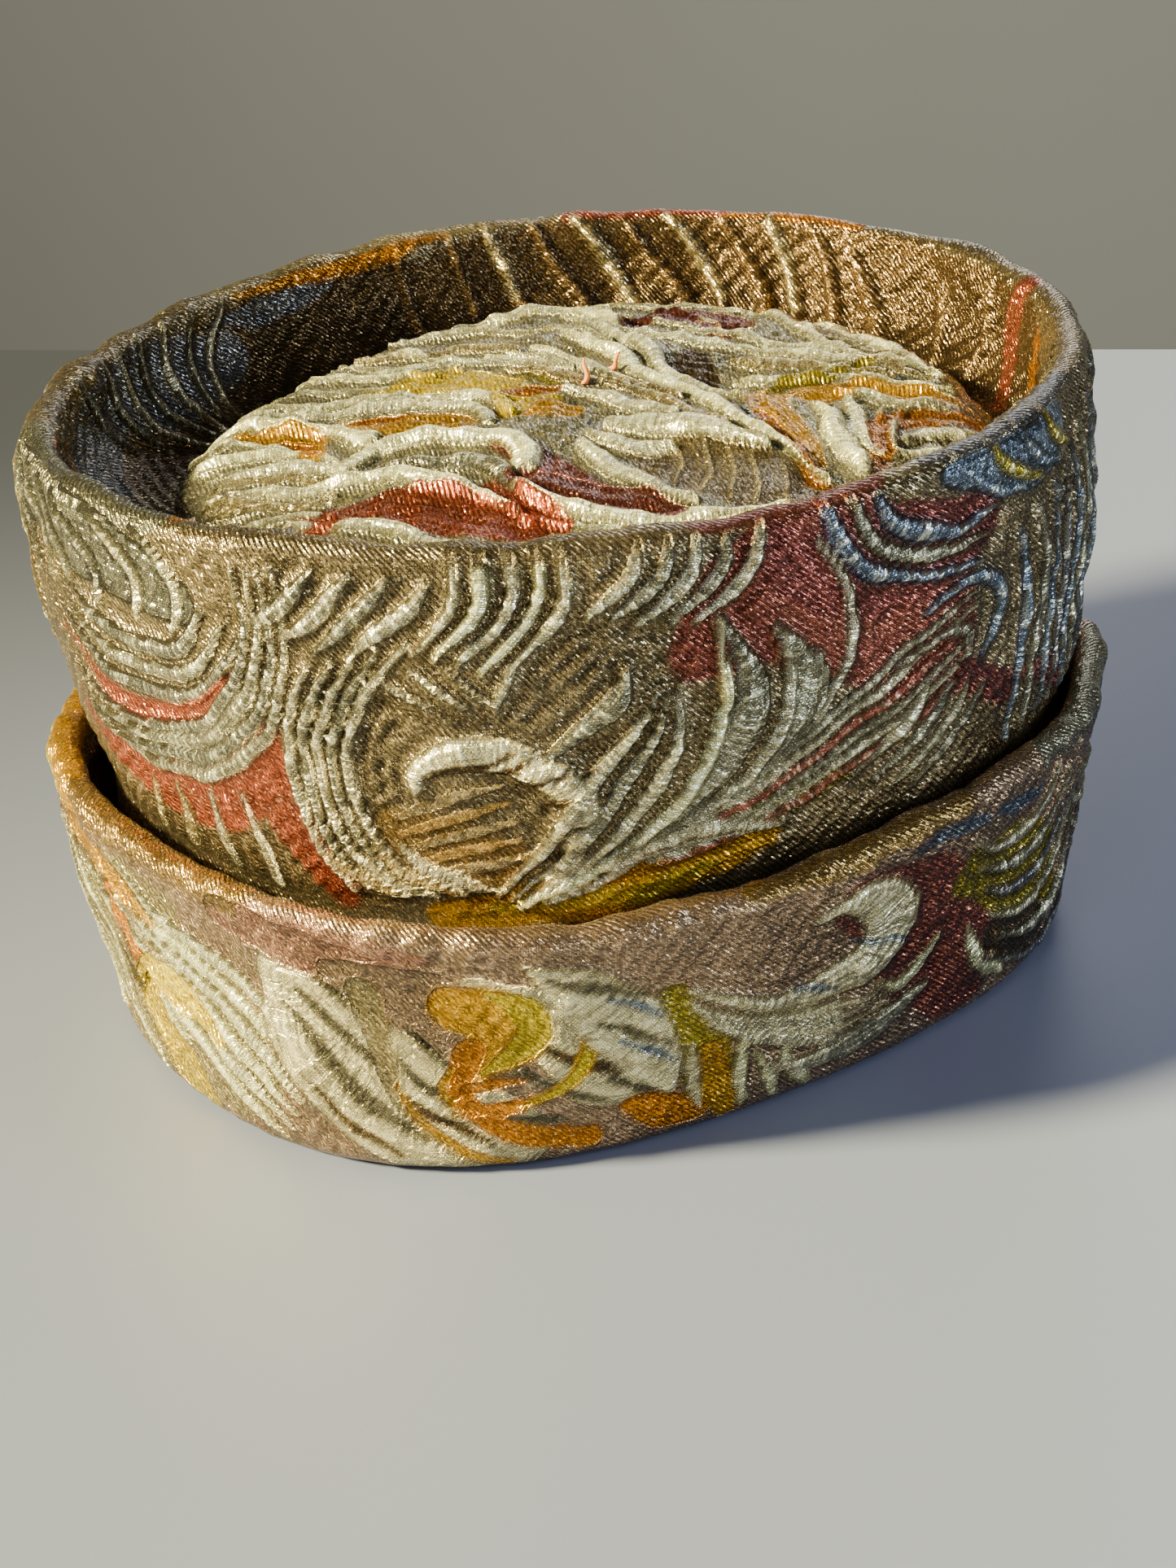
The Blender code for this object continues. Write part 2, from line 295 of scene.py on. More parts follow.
class Chart:
    """The strokes laid on a piece: the dye, the edge distance, the puff and the run along each stroke."""

    def __init__(self, points, across, along, ground, wraps):
        waver = np.stack([crumple(points, WAVER_LENGTH, seed) for seed in (31, 32)], axis=1) * WAVER
        self.wraps = wraps
        self.spots = np.stack([across, along], axis=1) + waver / (MM_PER_DEGREE if wraps else 1.0, 1.0)
        self.dye = np.tile(DYES[ground], (len(across), 1))
        self.edge = np.full(len(across), NOWHERE)
        self.puff = np.zeros(len(across))
        self.run = along * GROUND_RUN[1] + across * GROUND_RUN[0]

    def lay(self, strokes, turned=0.0):
        for stroke in strokes:
            self.lay_one(stroke, turned)

    def lay_one(self, stroke, turned):
        """Lay a stroke on the cloth near it, over what was laid there before."""
        path = smooth_path(stroke.path, CURVE_STEPS if len(stroke.path) > 2 else CURVE_STEPS // 2)
        shares = np.linspace(0, 1, len(path))
        widths = np.interp(shares, np.linspace(0, 1, len(stroke.widths)), stroke.widths) / 2
        middle = path.mean(axis=0)
        spots = self.spots - middle
        path = path - middle
        if self.wraps:
            spots[:, 0] = turn_between(spots[:, 0] - turned, 0.0) * MM_PER_DEGREE
            path[:, 0] *= MM_PER_DEGREE
        beyond = ECHO_REACH if stroke.kind == "figure" else OTHER_REACH
        reach = np.abs(path).max(axis=0) + widths.max() + beyond
        near = np.nonzero((np.abs(spots) < reach).all(axis=1))[0]
        if not len(near):
            return
        inside, half, run = self.measure(spots[near], path, widths)
        depth = np.clip(inside / half, 0, 1)
        if stroke.kind == "fold":
            self.puff[near] += stroke.rise * depth * depth * (3 - 2 * depth)
            return
        soft = WASH_SOFTNESS if stroke.kind == "wash" else EDGE_SOFTNESS
        cover = smooth_step(inside, -soft, soft)[:, None]
        self.dye[near] = self.dye[near] * (1 - cover) + np.array(DYES[stroke.dye]) * cover
        if stroke.kind == "figure":
            crease = CREASE_DEPTH * bell((inside + CREASE_OUTSIDE) / CREASE_WIDTH) * (inside < CREASE_END)
            slope = np.clip(inside / np.minimum(half, SHOULDER), 0, 1)
            dome = np.sqrt(np.clip(1 - (1 - slope) ** 2, 0, 1))
            self.puff[near] = np.maximum(self.puff[near] - crease, stroke.rise * dome)
            over = inside > 0
            self.edge[near] = np.where(over, inside, np.maximum(self.edge[near], inside))
            self.run[near[over]] = run[over]
        elif stroke.kind == "hatch":
            self.puff[near] += stroke.rise * depth
        elif stroke.kind == "inlay":
            self.edge[near] = np.where(inside > -INLAY_BORDER, -inside, self.edge[near])
            self.puff[near] -= INLAY_DEPTH * cover[:, 0]

    @staticmethod
    def measure(spots, path, widths):
        """How far each spot is inside the stroke's edge, the half width there, and the run along it."""
        inside = np.full(len(spots), NOWHERE)
        half = np.ones(len(spots))
        run = np.zeros(len(spots))
        passed = 0.0
        for start, end, wide_start, wide_end in zip(path, path[1:], widths, widths[1:]):
            step = end - start
            length = math.hypot(*step) + 1e-9
            share = np.clip(((spots - start) @ step) / length ** 2, 0, 1)
            gap = spots - start - share[:, None] * step
            wide = wide_start + (wide_end - wide_start) * share
            depth = wide - np.hypot(gap[:, 0], gap[:, 1])
            better = depth > inside
            inside[better] = depth[better]
            half[better] = np.maximum(wide[better], THINNEST)
            run[better] = passed + share[better] * length
            passed += length
        return inside, half, run

    def swollen(self, points):
        """The puff, fuller in some places along a ridge than in others."""
        return self.puff * np.clip(0.9 + 0.34 * crumple(points, wavelength=7.0, seed=33), 0.35, 1.5)

    def echoes(self, pitch, height):
        """Ridges in the ground that follow the nearest figure's edge and die away from it."""
        away = np.clip(-self.edge, 0, None)
        near = smooth_step(away, 0.2, 1.4) * (1 - smooth_step(away, 2.0, ECHO_REACH))
        return height * near * np.cos(2 * np.pi * (away - 0.5) / pitch)

    def slants(self, u, v, angle, pitch, height, waviness):
        """Slanting ridges in the ground, where no figure is near."""
        lean = math.radians(angle)
        across = v * math.cos(lean) - u * math.sin(lean)
        open_ground = smooth_step(-self.edge, 1.2, 4.5)
        return height * open_ground * np.sin(2 * np.pi * across / pitch + waviness)


CRUMPLE_WAVES = 14
# A sum of so many waves seldom goes past this
CRUMPLE_SPAN = 5.3


def crumple(points, wavelength, seed):
    """An even random waviness, mostly from -1 to 1, the same on each run."""
    pick = np.random.default_rng(seed)
    total = np.zeros(len(points))
    for _ in range(CRUMPLE_WAVES):
        heading = pick.normal(size=3)
        heading /= np.linalg.norm(heading)
        pitch = wavelength * pick.uniform(0.7, 1.5)
        total += np.sin(points @ heading * (2 * np.pi / pitch) + pick.uniform(0, 2 * np.pi))
    return total / CRUMPLE_SPAN


def dress(data, chart, lift, u, v, full_turn):
    """Give the cloth its dye, edge, run and lift as attributes, the lift for the painted shade and highlight,
    and a map in millimetres for its weave.
    """
    dye = data.attributes.new("dye", "FLOAT_COLOR", "POINT")
    opaque = np.hstack([chart.dye, np.ones((len(chart.dye), 1))])
    dye.data.foreach_set("color", opaque.astype(np.float32).ravel())
    write_values(data, "figure", chart.edge)
    write_values(data, "run", chart.run)
    write_values(data, "lift", lift)
    corners = np.empty(len(data.loops), dtype=np.int32)
    data.loops.foreach_get("vertex_index", corners)
    sizes = np.empty(len(data.polygons), dtype=np.int32)
    data.polygons.foreach_get("loop_total", sizes)
    across = u[corners]
    if full_turn:
        starts = np.concatenate([[0], np.cumsum(sizes)[:-1]])
        most = np.repeat(np.maximum.reduceat(across, starts), sizes)
        across = np.where(most - across > full_turn / 2, across + full_turn, across)
    layer = data.uv_layers.new(name="cloth")
    layer.data.foreach_set("uv", np.stack([across, v[corners]], axis=1).astype(np.float32).ravel())
    data.shade_smooth()


def add_node(tree, kind, inputs=None, **options):
    """A shader node with its options set and its inputs linked or given a value."""
    node = tree.nodes.new(kind)
    for key, value in options.items():
        setattr(node, key, value)
    for key, value in (inputs or {}).items():
        if isinstance(value, bpy.types.NodeSocket):
            tree.links.new(value, node.inputs[key])
        else:
            node.inputs[key].default_value = value
    return node


def maths(tree, operation, first, second=0.0, third=0.0):
    return add_node(tree, "ShaderNodeMath", {0: first, 1: second, 2: third}, operation=operation).outputs[0]


def ramp(tree, value, low, high, to_low=0.0, to_high=1.0):
    """A smooth change from one value to another between two limits."""
    return add_node(tree, "ShaderNodeMapRange", {0: value, 1: low, 2: high, 3: to_low, 4: to_high},
                    interpolation_type="SMOOTHSTEP").outputs[0]


def mix_colour(tree, factor, first, second, blend="MIX"):
    return add_node(tree, "ShaderNodeMix", {0: factor, 6: first, 7: second}, data_type="RGBA",
                    blend_type=blend).outputs[2]


def shaded(tree, colour, tone):
    """A colour made darker or lighter by a tone."""
    grey = add_node(tree, "ShaderNodeCombineColor", {0: tone, 1: tone, 2: tone}).outputs[0]
    return mix_colour(tree, 1.0, colour, grey, "MULTIPLY")


def noise(tree, place, scale, detail):
    inputs = {"Vector": place, "Scale": scale, "Detail": detail}
    return add_node(tree, "ShaderNodeTexNoise", inputs).outputs[0]


def new_material(name):
    """A material with its node tree and its surface shader."""
    material = bpy.data.materials.new(name)
    material.use_nodes = True
    return material, material.node_tree, material.node_tree.nodes["Principled BSDF"]


# The weave in millimetres: each thread's length, its width and the gap beside it, then pitches
GROUND_THREAD = (0.60, 0.30, 0.04)
SATIN_THREAD = (0.50, 0.42, 0.06)
CHECK_SIZE = 0.42
TWILL_PITCH = 0.85
VEIN_PITCH = 1.7
PICK_SPREAD = 913.7
BARE_METAL = (1.0, 0.86, 0.50, 1)
# The colour of the painted highlight beads along the figures' crests
PAINTED_GLINT = (1.0, 0.95, 0.60, 1)


def brocade(name, slant, glitter, crest):
    """Metal-thread brocade: a glittering slanted ground and satin figures in a fine check, with painted shade
    in the sunk creases, hollows and crinkles and painted highlight on the crests.
    """
    material, tree, shader = new_material(name)
    cloth_map = add_node(tree, "ShaderNodeUVMap", uv_map="cloth").outputs[0]
    body = add_node(tree, "ShaderNodeTexCoord").outputs["Object"]

    def charted(attribute, output="Fac"):
        return add_node(tree, "ShaderNodeAttribute", attribute_name=attribute).outputs[output]

    def times(first, second):
        return maths(tree, "MULTIPLY", first, second)

    def minus(first, second):
        return maths(tree, "SUBTRACT", first, second)

    def fused(value, factor, base):
        """A value times a factor, on a base."""
        return maths(tree, "MULTIPLY_ADD", value, factor, base)

    def turned(angle, scale=(1.0, 1.0, 1.0)):
        """The cloth's map, turned in its own plane."""
        return add_node(tree, "ShaderNodeMapping", {
            "Vector": cloth_map, "Rotation": (0, 0, math.radians(angle)), "Scale": scale}).outputs[0]

    def threads(angle, size):
        """Each thread's own random number, the dark gaps between threads, and a random direction for each."""
        length, width, gap = size
        brick = add_node(tree, "ShaderNodeTexBrick", {
            "Vector": turned(angle), "Color1": (0, 0, 0, 1), "Color2": (1, 1, 1, 1), "Mortar": (0, 0, 0, 1),
            "Scale": 1.0, "Mortar Size": gap, "Mortar Smooth": 0.5, "Brick Width": length,
            "Row Height": width}, offset=0.5)
        pick = add_node(tree, "ShaderNodeSeparateColor", {0: brick.outputs["Color"]}).outputs[0]
        lean = add_node(tree, "ShaderNodeTexWhiteNoise", {"W": times(pick, PICK_SPREAD)}, noise_dimensions="1D")
        return pick, brick.outputs["Fac"], lean.outputs["Color"]

    def vectors(operation, first, second):
        return add_node(tree, "ShaderNodeVectorMath", {0: first, 1: second}, operation=operation).outputs[0]

    dye = add_node(tree, "ShaderNodeGamma", {"Color": charted("dye", "Color"), "Gamma": 1.18}).outputs[0]
    edge, run, lift = charted("figure"), charted("run"), charted("lift")

    # The woven edge of a figure steps from thread to thread
    ragged = noise(tree, body, 1500.0, 1.0)
    on_figure = ramp(tree, maths(tree, "ADD", edge, times(ragged, 0.7)), 0.15, 0.55)
    on_ground = minus(1.0, on_figure)

    def either(on_satin, beside):
        """One value on the figures and another on the ground beside them."""
        return fused(minus(on_satin, beside), on_figure, beside)

    ground_pick, ground_gap, ground_lean = threads(slant, GROUND_THREAD)
    satin_pick, satin_gap, satin_lean = threads(0.0, SATIN_THREAD)
    gap = either(satin_gap, ground_gap)

    # Short crinkles across each figure, a bump with painted shade and highlight in its tone, and beads of
    # painted highlight along each figure's crest
    across = add_node(tree, "ShaderNodeCombineXYZ", {0: run, 1: times(edge, 0.35)}).outputs[0]
    crinkle = noise(tree, across, 0.95, 3.0)
    painted_bead = times(ramp(tree, crinkle, 0.50, 0.64), ramp(tree, lift, 0.45, 1.05))
    painted_bead = times(times(painted_bead, on_figure), 0.70)
    crinkle_shade = times(minus(ramp(tree, crinkle, 0.36, 0.62), 0.55), on_figure)

    # The ground's twill, and the line of painted shade along the sunk crease round each figure
    twill = add_node(tree, "ShaderNodeSeparateXYZ", {0: turned(slant)}).outputs["Y"]
    twill = times(maths(tree, "SINE", times(twill, math.tau / TWILL_PITCH)), on_ground)
    crease_shade_line = maths(tree, "ABSOLUTE", maths(tree, "ADD", edge, 0.35))

    # Dyed threads cross bare gold and silver ones, so each patch holds darker and brighter specks
    check = add_node(tree, "ShaderNodeTexChecker", {"Vector": cloth_map, "Scale": 1 / CHECK_SIZE})
    satin_tone = times(ramp(tree, satin_pick, 0.0, 1.0, 0.72, 1.22), fused(check.outputs["Fac"], 0.42, 0.76))
    tone = either(satin_tone, ramp(tree, ground_pick, 0.1, 0.95, 0.55, 1.45))
    clouds = ramp(tree, noise(tree, body, 60.0, 4.0), 0.3, 0.7, 0.78, 1.20)
    # Painted shade and highlight by the lift: darker in the hollows of the relief, lighter on its crests
    painted_height_shade = ramp(tree, lift, -0.45, crest, 0.50, 1.30)
    # Painted shade and highlight in the crinkles, from the same noise as their bump
    crinkles = fused(crinkle_shade, 0.62, 1.0)
    ribs = fused(twill, 0.22, 1.0)
    # Painted shade in the sunk crease round each figure
    painted_crease_shade = ramp(tree, crease_shade_line, 0.0, 0.7, 0.74, 1.0)
    thread_gaps = ramp(tree, gap, 0.0, 1.0, 1.0, 0.42)
    for shade in (clouds, painted_height_shade, crinkles, ribs, painted_crease_shade, thread_gaps):
        tone = times(tone, shade)
    paleness = add_node(tree, "ShaderNodeRGBToBW", {0: dye}).outputs[0]
    bare = times(ramp(tree, ground_pick, 1 - glitter, 1 - glitter * 0.4), on_ground)
    bare = times(bare, ramp(tree, paleness, 0.10, 0.26, 0.15, 1.0))
    colour = mix_colour(tree, bare, shaded(tree, dye, tone), mix_colour(tree, 0.38, dye, BARE_METAL))
    # Painted highlight: pale beads along the crinkled crests of the figures
    colour = mix_colour(tree, painted_bead, colour, PAINTED_GLINT)

    # Each thread leans its own way, which is what makes the ground glitter
    lean = vectors("SUBTRACT", mix_colour(tree, on_figure, ground_lean, satin_lean), (0.5, 0.5, 0.5))
    tilt = ramp(tree, on_figure, 0.0, 1.0, 0.50, 0.30)
    lean = add_node(tree, "ShaderNodeVectorMath", {0: lean, "Scale": tilt}, operation="SCALE").outputs[0]
    facing = vectors("ADD", add_node(tree, "ShaderNodeNewGeometry").outputs["Normal"], lean)
    facing = add_node(tree, "ShaderNodeVectorMath", {0: facing}, operation="NORMALIZE").outputs[0]

    # The crinkles, veins along each figure, a fine crinkle over all, and the threads
    vein = maths(tree, "COSINE", times(edge, math.tau / VEIN_PITCH))
    vein = times(times(vein, on_figure), 0.07)
    fine = noise(tree, turned(slant, (0.35, 1.1, 1.0)), 1.0, 2.0)
    fine = times(fine, ramp(tree, on_figure, 0.0, 1.0, 0.34, 0.10))
    height = maths(tree, "ADD", times(crinkle, on_figure), vein)
    height = maths(tree, "ADD", height, fused(gap, -0.05, fine))
    bump = add_node(tree, "ShaderNodeBump", {
        "Strength": 1.0, "Distance": 0.001, "Height": fused(twill, 0.05, height), "Normal": facing})

    for socket, value in (
        ("Base Color", colour),
        ("Roughness", ramp(tree, either(satin_pick, ground_pick), 0.0, 1.0, 0.31, 0.16)),
        ("Metallic", ramp(tree, paleness, 0.36, 0.80, 0.95, 0.80)),
        ("Normal", bump.outputs[0]),
    ):
        tree.links.new(value, shader.inputs[socket])
    return material


def show(name, data):
    """A new object in the scene, at the origin."""
    shown = bpy.data.objects.new(name, data)
    bpy.context.scene.collection.objects.link(shown)
    return shown


def add_piece(name, data, material, node):
    data.materials.append(material)
    piece = show(name, data)
    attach(piece, "root")
    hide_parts(node)


def cuff_row(turns, station):
    outward, height = station
    rise = max(0.0, min(1.0, (height - BASE_FOLD) / (CUFF_CREST - BASE_FOLD)))
    base, crest = (outline_points(line, turns, outward) for line in (BASE_LINE, CREST_LINE))
    spots = base * (1 - rise) + crest * rise
    push = -CUFF_HOLLOW * hump(rise)
    if height > FACING_HEIGHT:
        push = push + bulge_push(CUFF_BULGES, turns, height) + gather_push(CREST_GATHERS, turns) * rise ** 3
    spots = push_out(spots, push)
    return np.column_stack([spots, height + wave_rise(CREST_WAVES, turns) * rise])


CUFF_CHART = [
    # the left side: cream feathers running down to the right, with gold between them
    wash("champagne", (40, 46, 40), (160, 20), (172, 26), (186, 24)),
    wash("fawn", (7, 9, 8), (184, 44), (195, 31), (203, 10)),
    *fan(6, ("cream", "ivory"), 0.65, (1, 3.2, 3.8, 3.4, 1),
         ((166, 34), (174, 26), (182, 18), (190, 10), (196, 3)),
         ((170, 49), (180, 40.5), (189, 37), (197, 29), (202, 20))),
    *fan(4, ("cream", "champagne"), 0.6, (1, 3.4, 3.8, 1),
         ((156, 30), (162, 20), (168, 11), (174, 4)), ((166, 47), (172, 38), (178, 29), (184, 20))),
    *fan(3, ("cream", "ivory"), 0.6, (1, 3.4, 3.4, 1),
         ((144, 38), (150, 28), (156, 18), (162, 8)), ((154, 48), (159, 38), (164, 28), (169, 18))),
    # silver satin with dark stitched dashes, and the gold hook on it
    figure("satin", 0.35, (14, 26, 30, 22), (199, 40), (203, 28), (212, 18), (222, 8)),
    figure("satin", 0.35, (10, 16, 18), (222, 42), (230, 34), (236, 22)),
    hatch("moss", 0.30, (1, 2.6, 2.6, 1), (203, 43), (207, 39), (212, 34)),
    hatch("moss", 0.35, (1, 2.8, 3, 1), (200, 39), (205, 32), (211, 24)),
    hatch("moss", 0.40, (1, 4, 4.4, 1.6), (198, 35), (203, 25), (209, 16), (215, 9)),
    hatch("umber", 0.35, (1, 2.6, 1), (201, 18), (206, 11), (212, 5)),
    hatch("moss", 0.35, (1, 2.4, 1), (213.6, 35), (217, 30), (219.4, 26)),
    hatch("moss", 0.35, (1, 2.8, 2.4, 1), (212.4, 28), (216, 22), (220, 16)),
    hatch("umber", 0.40, (1, 2.8, 2.4, 1), (213, 20), (217, 14), (222, 8)),
    hatch("moss", 0.35, (1, 2.6, 2.6, 1), (222, 29), (228, 22), (235, 15)),
    hatch("umber", 0.35, (1, 2.2, 2.6, 1), (227, 32), (232, 26), (238, 20)),
    hatch("moss", 0.35, (1, 2.4, 1), (223, 15.4), (227, 12.6), (231, 11.4)),
    inlay("pink", (7, 9, 9, 8), (190, 50), (199, 48), (208, 46), (216, 43)),
    inlay("fawn", (5, 8, 11, 12), (205, 44), (210, 44), (215, 42), (220, 39)),
    inlay("gold", (8, 13, 14, 9, 5), (219, 40), (223, 38.4), (224.8, 34), (222.4, 28.6), (220.6, 25)),
    inlay("yellow", (2, 6, 6, 4, 1), (223, 43), (226.6, 39.4), (227.6, 34), (225, 28.6), (222, 25)),
    inlay("orange", (6, 5, 5, 5.4, 5), (220.6, 30), (219.4, 22), (221.4, 14.4), (226, 9), (233, 6.6)),
    inlay("gold", (1, 2.2, 1), (218.6, 27), (217.4, 22), (218.6, 15)),
    inlay("orange", (2.6, 2.6, 0.5), (220, 21), (223, 22), (226.6, 23)),
    inlay("orange", (2.4, 3, 2), (220.4, 17), (224, 16), (228, 18)),
    inlay("gold", (2, 3.4, 3.6, 3.4, 2.4), (227, 17), (231, 21), (233, 28.6), (232.2, 37), (229, 45)),
    inlay("yellow", (0.8, 2.2, 2.4, 0.8), (226, 16.6), (230.6, 20), (233, 27), (233, 33)),
    inlay("champagne", (7, 5, 3.6, 3, 3), (209, 41), (210.4, 31), (211.4, 21), (214.6, 12), (219.4, 4)),
    inlay("gold", (0.8, 2.2, 2.4, 2), (212, 22), (214.6, 13.6), (219, 6), (224, 2.6)),
    # the silver leaf with blue lines, and tan ground beside it
    wash("fawn", (16, 24, 22), (245, 42), (253, 40), (262, 38)),
    inlay("olive", (5, 9, 8), (242, 36), (245, 24), (247, 10)),
    inlay("gold", (4, 7, 6), (246, 22), (247, 12), (249, 5)),
    figure("satin", 0.55, (1, 10, 15, 11, 1), (227, 49), (232, 42), (237, 32), (240, 22), (243, 12)),
    hatch("moss", 0.3, (1, 3, 2.6, 1), (229, 46), (234, 42), (239, 38)),
    hatch("blue", 0.3, (1, 2.2, 1), (235, 39), (239, 35.4), (241, 32)),
    hatch("moss", 0.35, (1, 2.6, 1), (234, 34), (238, 30), (242, 25)),
    hatch("blue", 0.3, (1, 2.2, 1), (236, 29), (239.6, 25), (242.6, 21)),
    hatch("moss", 0.3, (1, 2.2, 1), (235, 21), (239, 16), (242, 12)),
    inlay("orange", (6, 9, 6), (238, 12), (241, 9), (245, 6)),
    figure("satin", 0.5, (1, 3, 3, 1), (244, 24), (245, 15), (246, 6)),
    figure("cream", 0.6, (1, 2.6, 3, 2.5), (249, 22), (250, 15), (251, 6)),
    figure("cream", 0.6, (1, 2.6, 3, 2), (252, 16), (254, 10), (255, 4)),
    figure("cream", 0.6, (1, 2.6, 3, 2), (256, 14), (257, 9), (259, 4)),
    # the white hook and its under strokes on taupe, with rose beyond
    wash("rose", (10, 20, 26, 18), (262, 44), (269, 36), (274, 24), (277, 12)),
    figure("satin", 0.85, (1, 5, 9, 10, 9, 8, 5, 3, 1), (257, 44), (261, 45), (265, 41.5), (267, 35),
           (265, 28.5), (260.5, 26), (255, 26.5), (249.5, 30.5), (243.5, 36.5)),
    hatch("blue", 0.3, (0.8, 1.8, 0.8), (263, 34), (269, 29)),
    hatch("blue", 0.3, (0.8, 1.8, 0.8), (256, 29), (261, 24)),
    *fan(4, ("satin", "silver"), 0.7, (1, 2.2, 2.8, 2.4, 1),
         ((244, 33.5), (248.5, 27.5), (254, 23), (260, 20.5), (266, 20)),
         ((246, 28), (250.5, 20.5), (256, 16), (262, 12.5), (269, 13))),
    figure("silver", 0.6, (1, 4, 7, 6, 2), (253, 12), (258, 9.5), (263, 9), (268, 11), (272, 15)),
    figure("cream", 0.5, (1, 3.4, 3, 1), (266, 22), (269, 18), (271, 20), (273, 26)),
    figure("cream", 0.5, (1, 4, 6, 2), (277, 22), (279, 16), (282, 11), (284, 7)),
    # the plume at the right, olive and silver, curling up to the crest
    wash("olive", (10, 18, 20, 14), (277, 36), (283, 32), (288, 26), (292, 16)),
    wash("umber", (8, 12, 8), (282, 16), (287, 13), (292, 12)),
    *fan(6, ("silver", "pewter", "smoke"), 0.8, (1, 3, 3.8, 3, 1),
         ((276, 43), (280, 39), (285, 38), (289, 42), (291, 48)),
         ((284, 9), (290, 6), (297, 8), (302, 17), (305, 30))),
    *fan(4, ("pewter", "silver"), 0.7, (1, 3, 3, 1),
         ((296, 45), (299, 39), (303, 36), (309, 37)), ((302, 20), (307, 14), (314, 13), (322, 18))),
    wash("blue", (2, 4, 2), (269, 49), (273, 49), (277, 47)),
    wash("blue", (2, 5, 2), (279, 48), (283, 46), (287, 46)),
]
CUFF_CREST_DYES = [
    wash("gold", (9, 14, 14, 9), (112, 57), (128, 56), (146, 55), (160, 52)),
    wash("yellow", (4, 8, 6), (124, 51), (140, 50), (156, 48)),
    wash("bronze", (8, 9, 8), (160, 55), (176, 55), (192, 54)),
    wash("pink", (3, 6, 3), (194, 52), (206, 51), (216, 50)),
    wash("bronze", (4, 6, 4), (250, 55), (262, 54), (274, 54)),
    wash("pewter", (8, 10, 8), (288, 54), (304, 54), (318, 54)),
    inlay("gold", (3, 6, 7, 2), (150, 46), (160, 45.5), (169, 43.5), (178, 38)),
    inlay("orange", (3, 6, 7, 4), (168, 39), (169.5, 33), (171, 27), (173, 22)),
    inlay("yellow", (4, 9, 9, 3), (171, 23), (176, 26), (181, 25), (187, 20)),
    inlay("yellow", (6, 9, 10, 4), (173, 22), (174.6, 15), (178, 9), (183, 4)),
]
CUFF_SEGMENTS = 640
CUFF_ROW_STEP = 0.0009
# How far the cloth is moved, in millimetres: puffed figure, broad crumple, fine creases and puckers
CUFF_PUFF, CUFF_CRUMPLE, CUFF_CREASES = 1.35, 0.50, 0.16
CREST_PUCKERS, CREST_PUCKER = 62, 0.26

cuff_face = rows_between((-FOOT_WIDTH, FACING_HEIGHT), (-FOOT_WIDTH, FACING_FOLD), step=0.004)
cuff_face += arc(FACING_FOLD - FOOT_WIDTH, FACING_FOLD, FACING_FOLD, 180, 270, steps=3)
cuff_face += arc(-BASE_FOLD, BASE_FOLD, BASE_FOLD, 270, 360, steps=9)[:-1]
cuff_face += rows_between((0.0, BASE_FOLD), (0.0, CUFF_CREST), CUFF_ROW_STEP)
cuff_face += arc(-CUFF_ROLL, CUFF_CREST, CUFF_ROLL, 0, 180, steps=11)
cuff_face += [(-2 * CUFF_WALL - GAP, CUFF_CREST - CUFF_RETURN * share) for share in (0.35, 0.7, 1.0)]
inner_facing = CUFF_WALL - FOOT_WIDTH
cuff_reverse = [
    (-CUFF_WALL - GAP, CUFF_CREST - CUFF_RETURN),
    (-CUFF_WALL - GAP, CUFF_CREST),
    (-CUFF_WALL - GAP / 4, CUFF_CREST),
    *[(-CUFF_WALL, height) for height in (0.037, 0.021, 0.007)],
    (-BASE_FOLD, CUFF_WALL),
    (inner_facing, CUFF_WALL + 0.0006),
    (inner_facing, FACING_HEIGHT),
]
cuff_data, cuff_turns, cuff_rows = spun_shell(
    "cuff_cloth_mesh", cuff_face + cuff_reverse, CUFF_SEGMENTS, cuff_row)


def way_along(steps):
    """How far along a line each of its points lies, from the steps between them."""
    return np.concatenate([[0], np.cumsum(np.hypot(*steps.T))])


UNSEEN_WAY = -40.0


def way_up(face_way, reverse, rows):
    """Each point's way up the cloth, by its row, with the unseen reverse far below the chart."""
    return np.concatenate([face_way, np.full(len(reverse), UNSEEN_WAY)])[rows]


def sculpt(data, relief):
    """Move each point of the cloth along its normal."""
    write_points(data, read_points(data) + read_normals(data) * (relief / 1000)[:, None])


def fade(values, low, high, margin):
    """1 between two limits, and 0 a margin outside them."""
    return smooth_step(values, low - margin, low) * (1 - smooth_step(values, high, high + margin))


# Each row's way up the cloth in millimetres, equal to its height where the wall stands upright
face_points = np.array(cuff_face)
cuff_lengths = way_along(np.diff(face_points, axis=0))
upright = next(i for i, (outward, height) in enumerate(face_points) if outward == 0.0 and height >= BASE_FOLD)
cuff_lengths = (cuff_lengths - cuff_lengths[upright] + face_points[upright][1]) * 1000
cuff_way = way_up(cuff_lengths, cuff_reverse, cuff_rows)
cuff_points = read_points(cuff_data) * 1000
cuff_chart = Chart(cuff_points, cuff_turns, cuff_way, "fawn", wraps=True)
for turned in (0.0, 180.0):
    cuff_chart.lay(CUFF_CHART, turned)
cuff_chart.lay(CUFF_CREST_DYES)
crest_pucker = np.sin(np.radians(cuff_turns * CREST_PUCKERS) + 2.6 * crumple(cuff_points, 26.0, seed=4))
cuff_echo = cuff_chart.echoes(pitch=2.9, height=0.22) + cuff_chart.slants(
    cuff_turns * MM_PER_DEGREE, cuff_way, angle=58.0, pitch=3.4, height=0.18,
    waviness=crumple(cuff_points, 24.0, seed=6))
cuff_lift = (CUFF_PUFF * cuff_chart.swollen(cuff_points) + cuff_echo) * fade(cuff_way, 7.0, 50.0, margin=6.0)
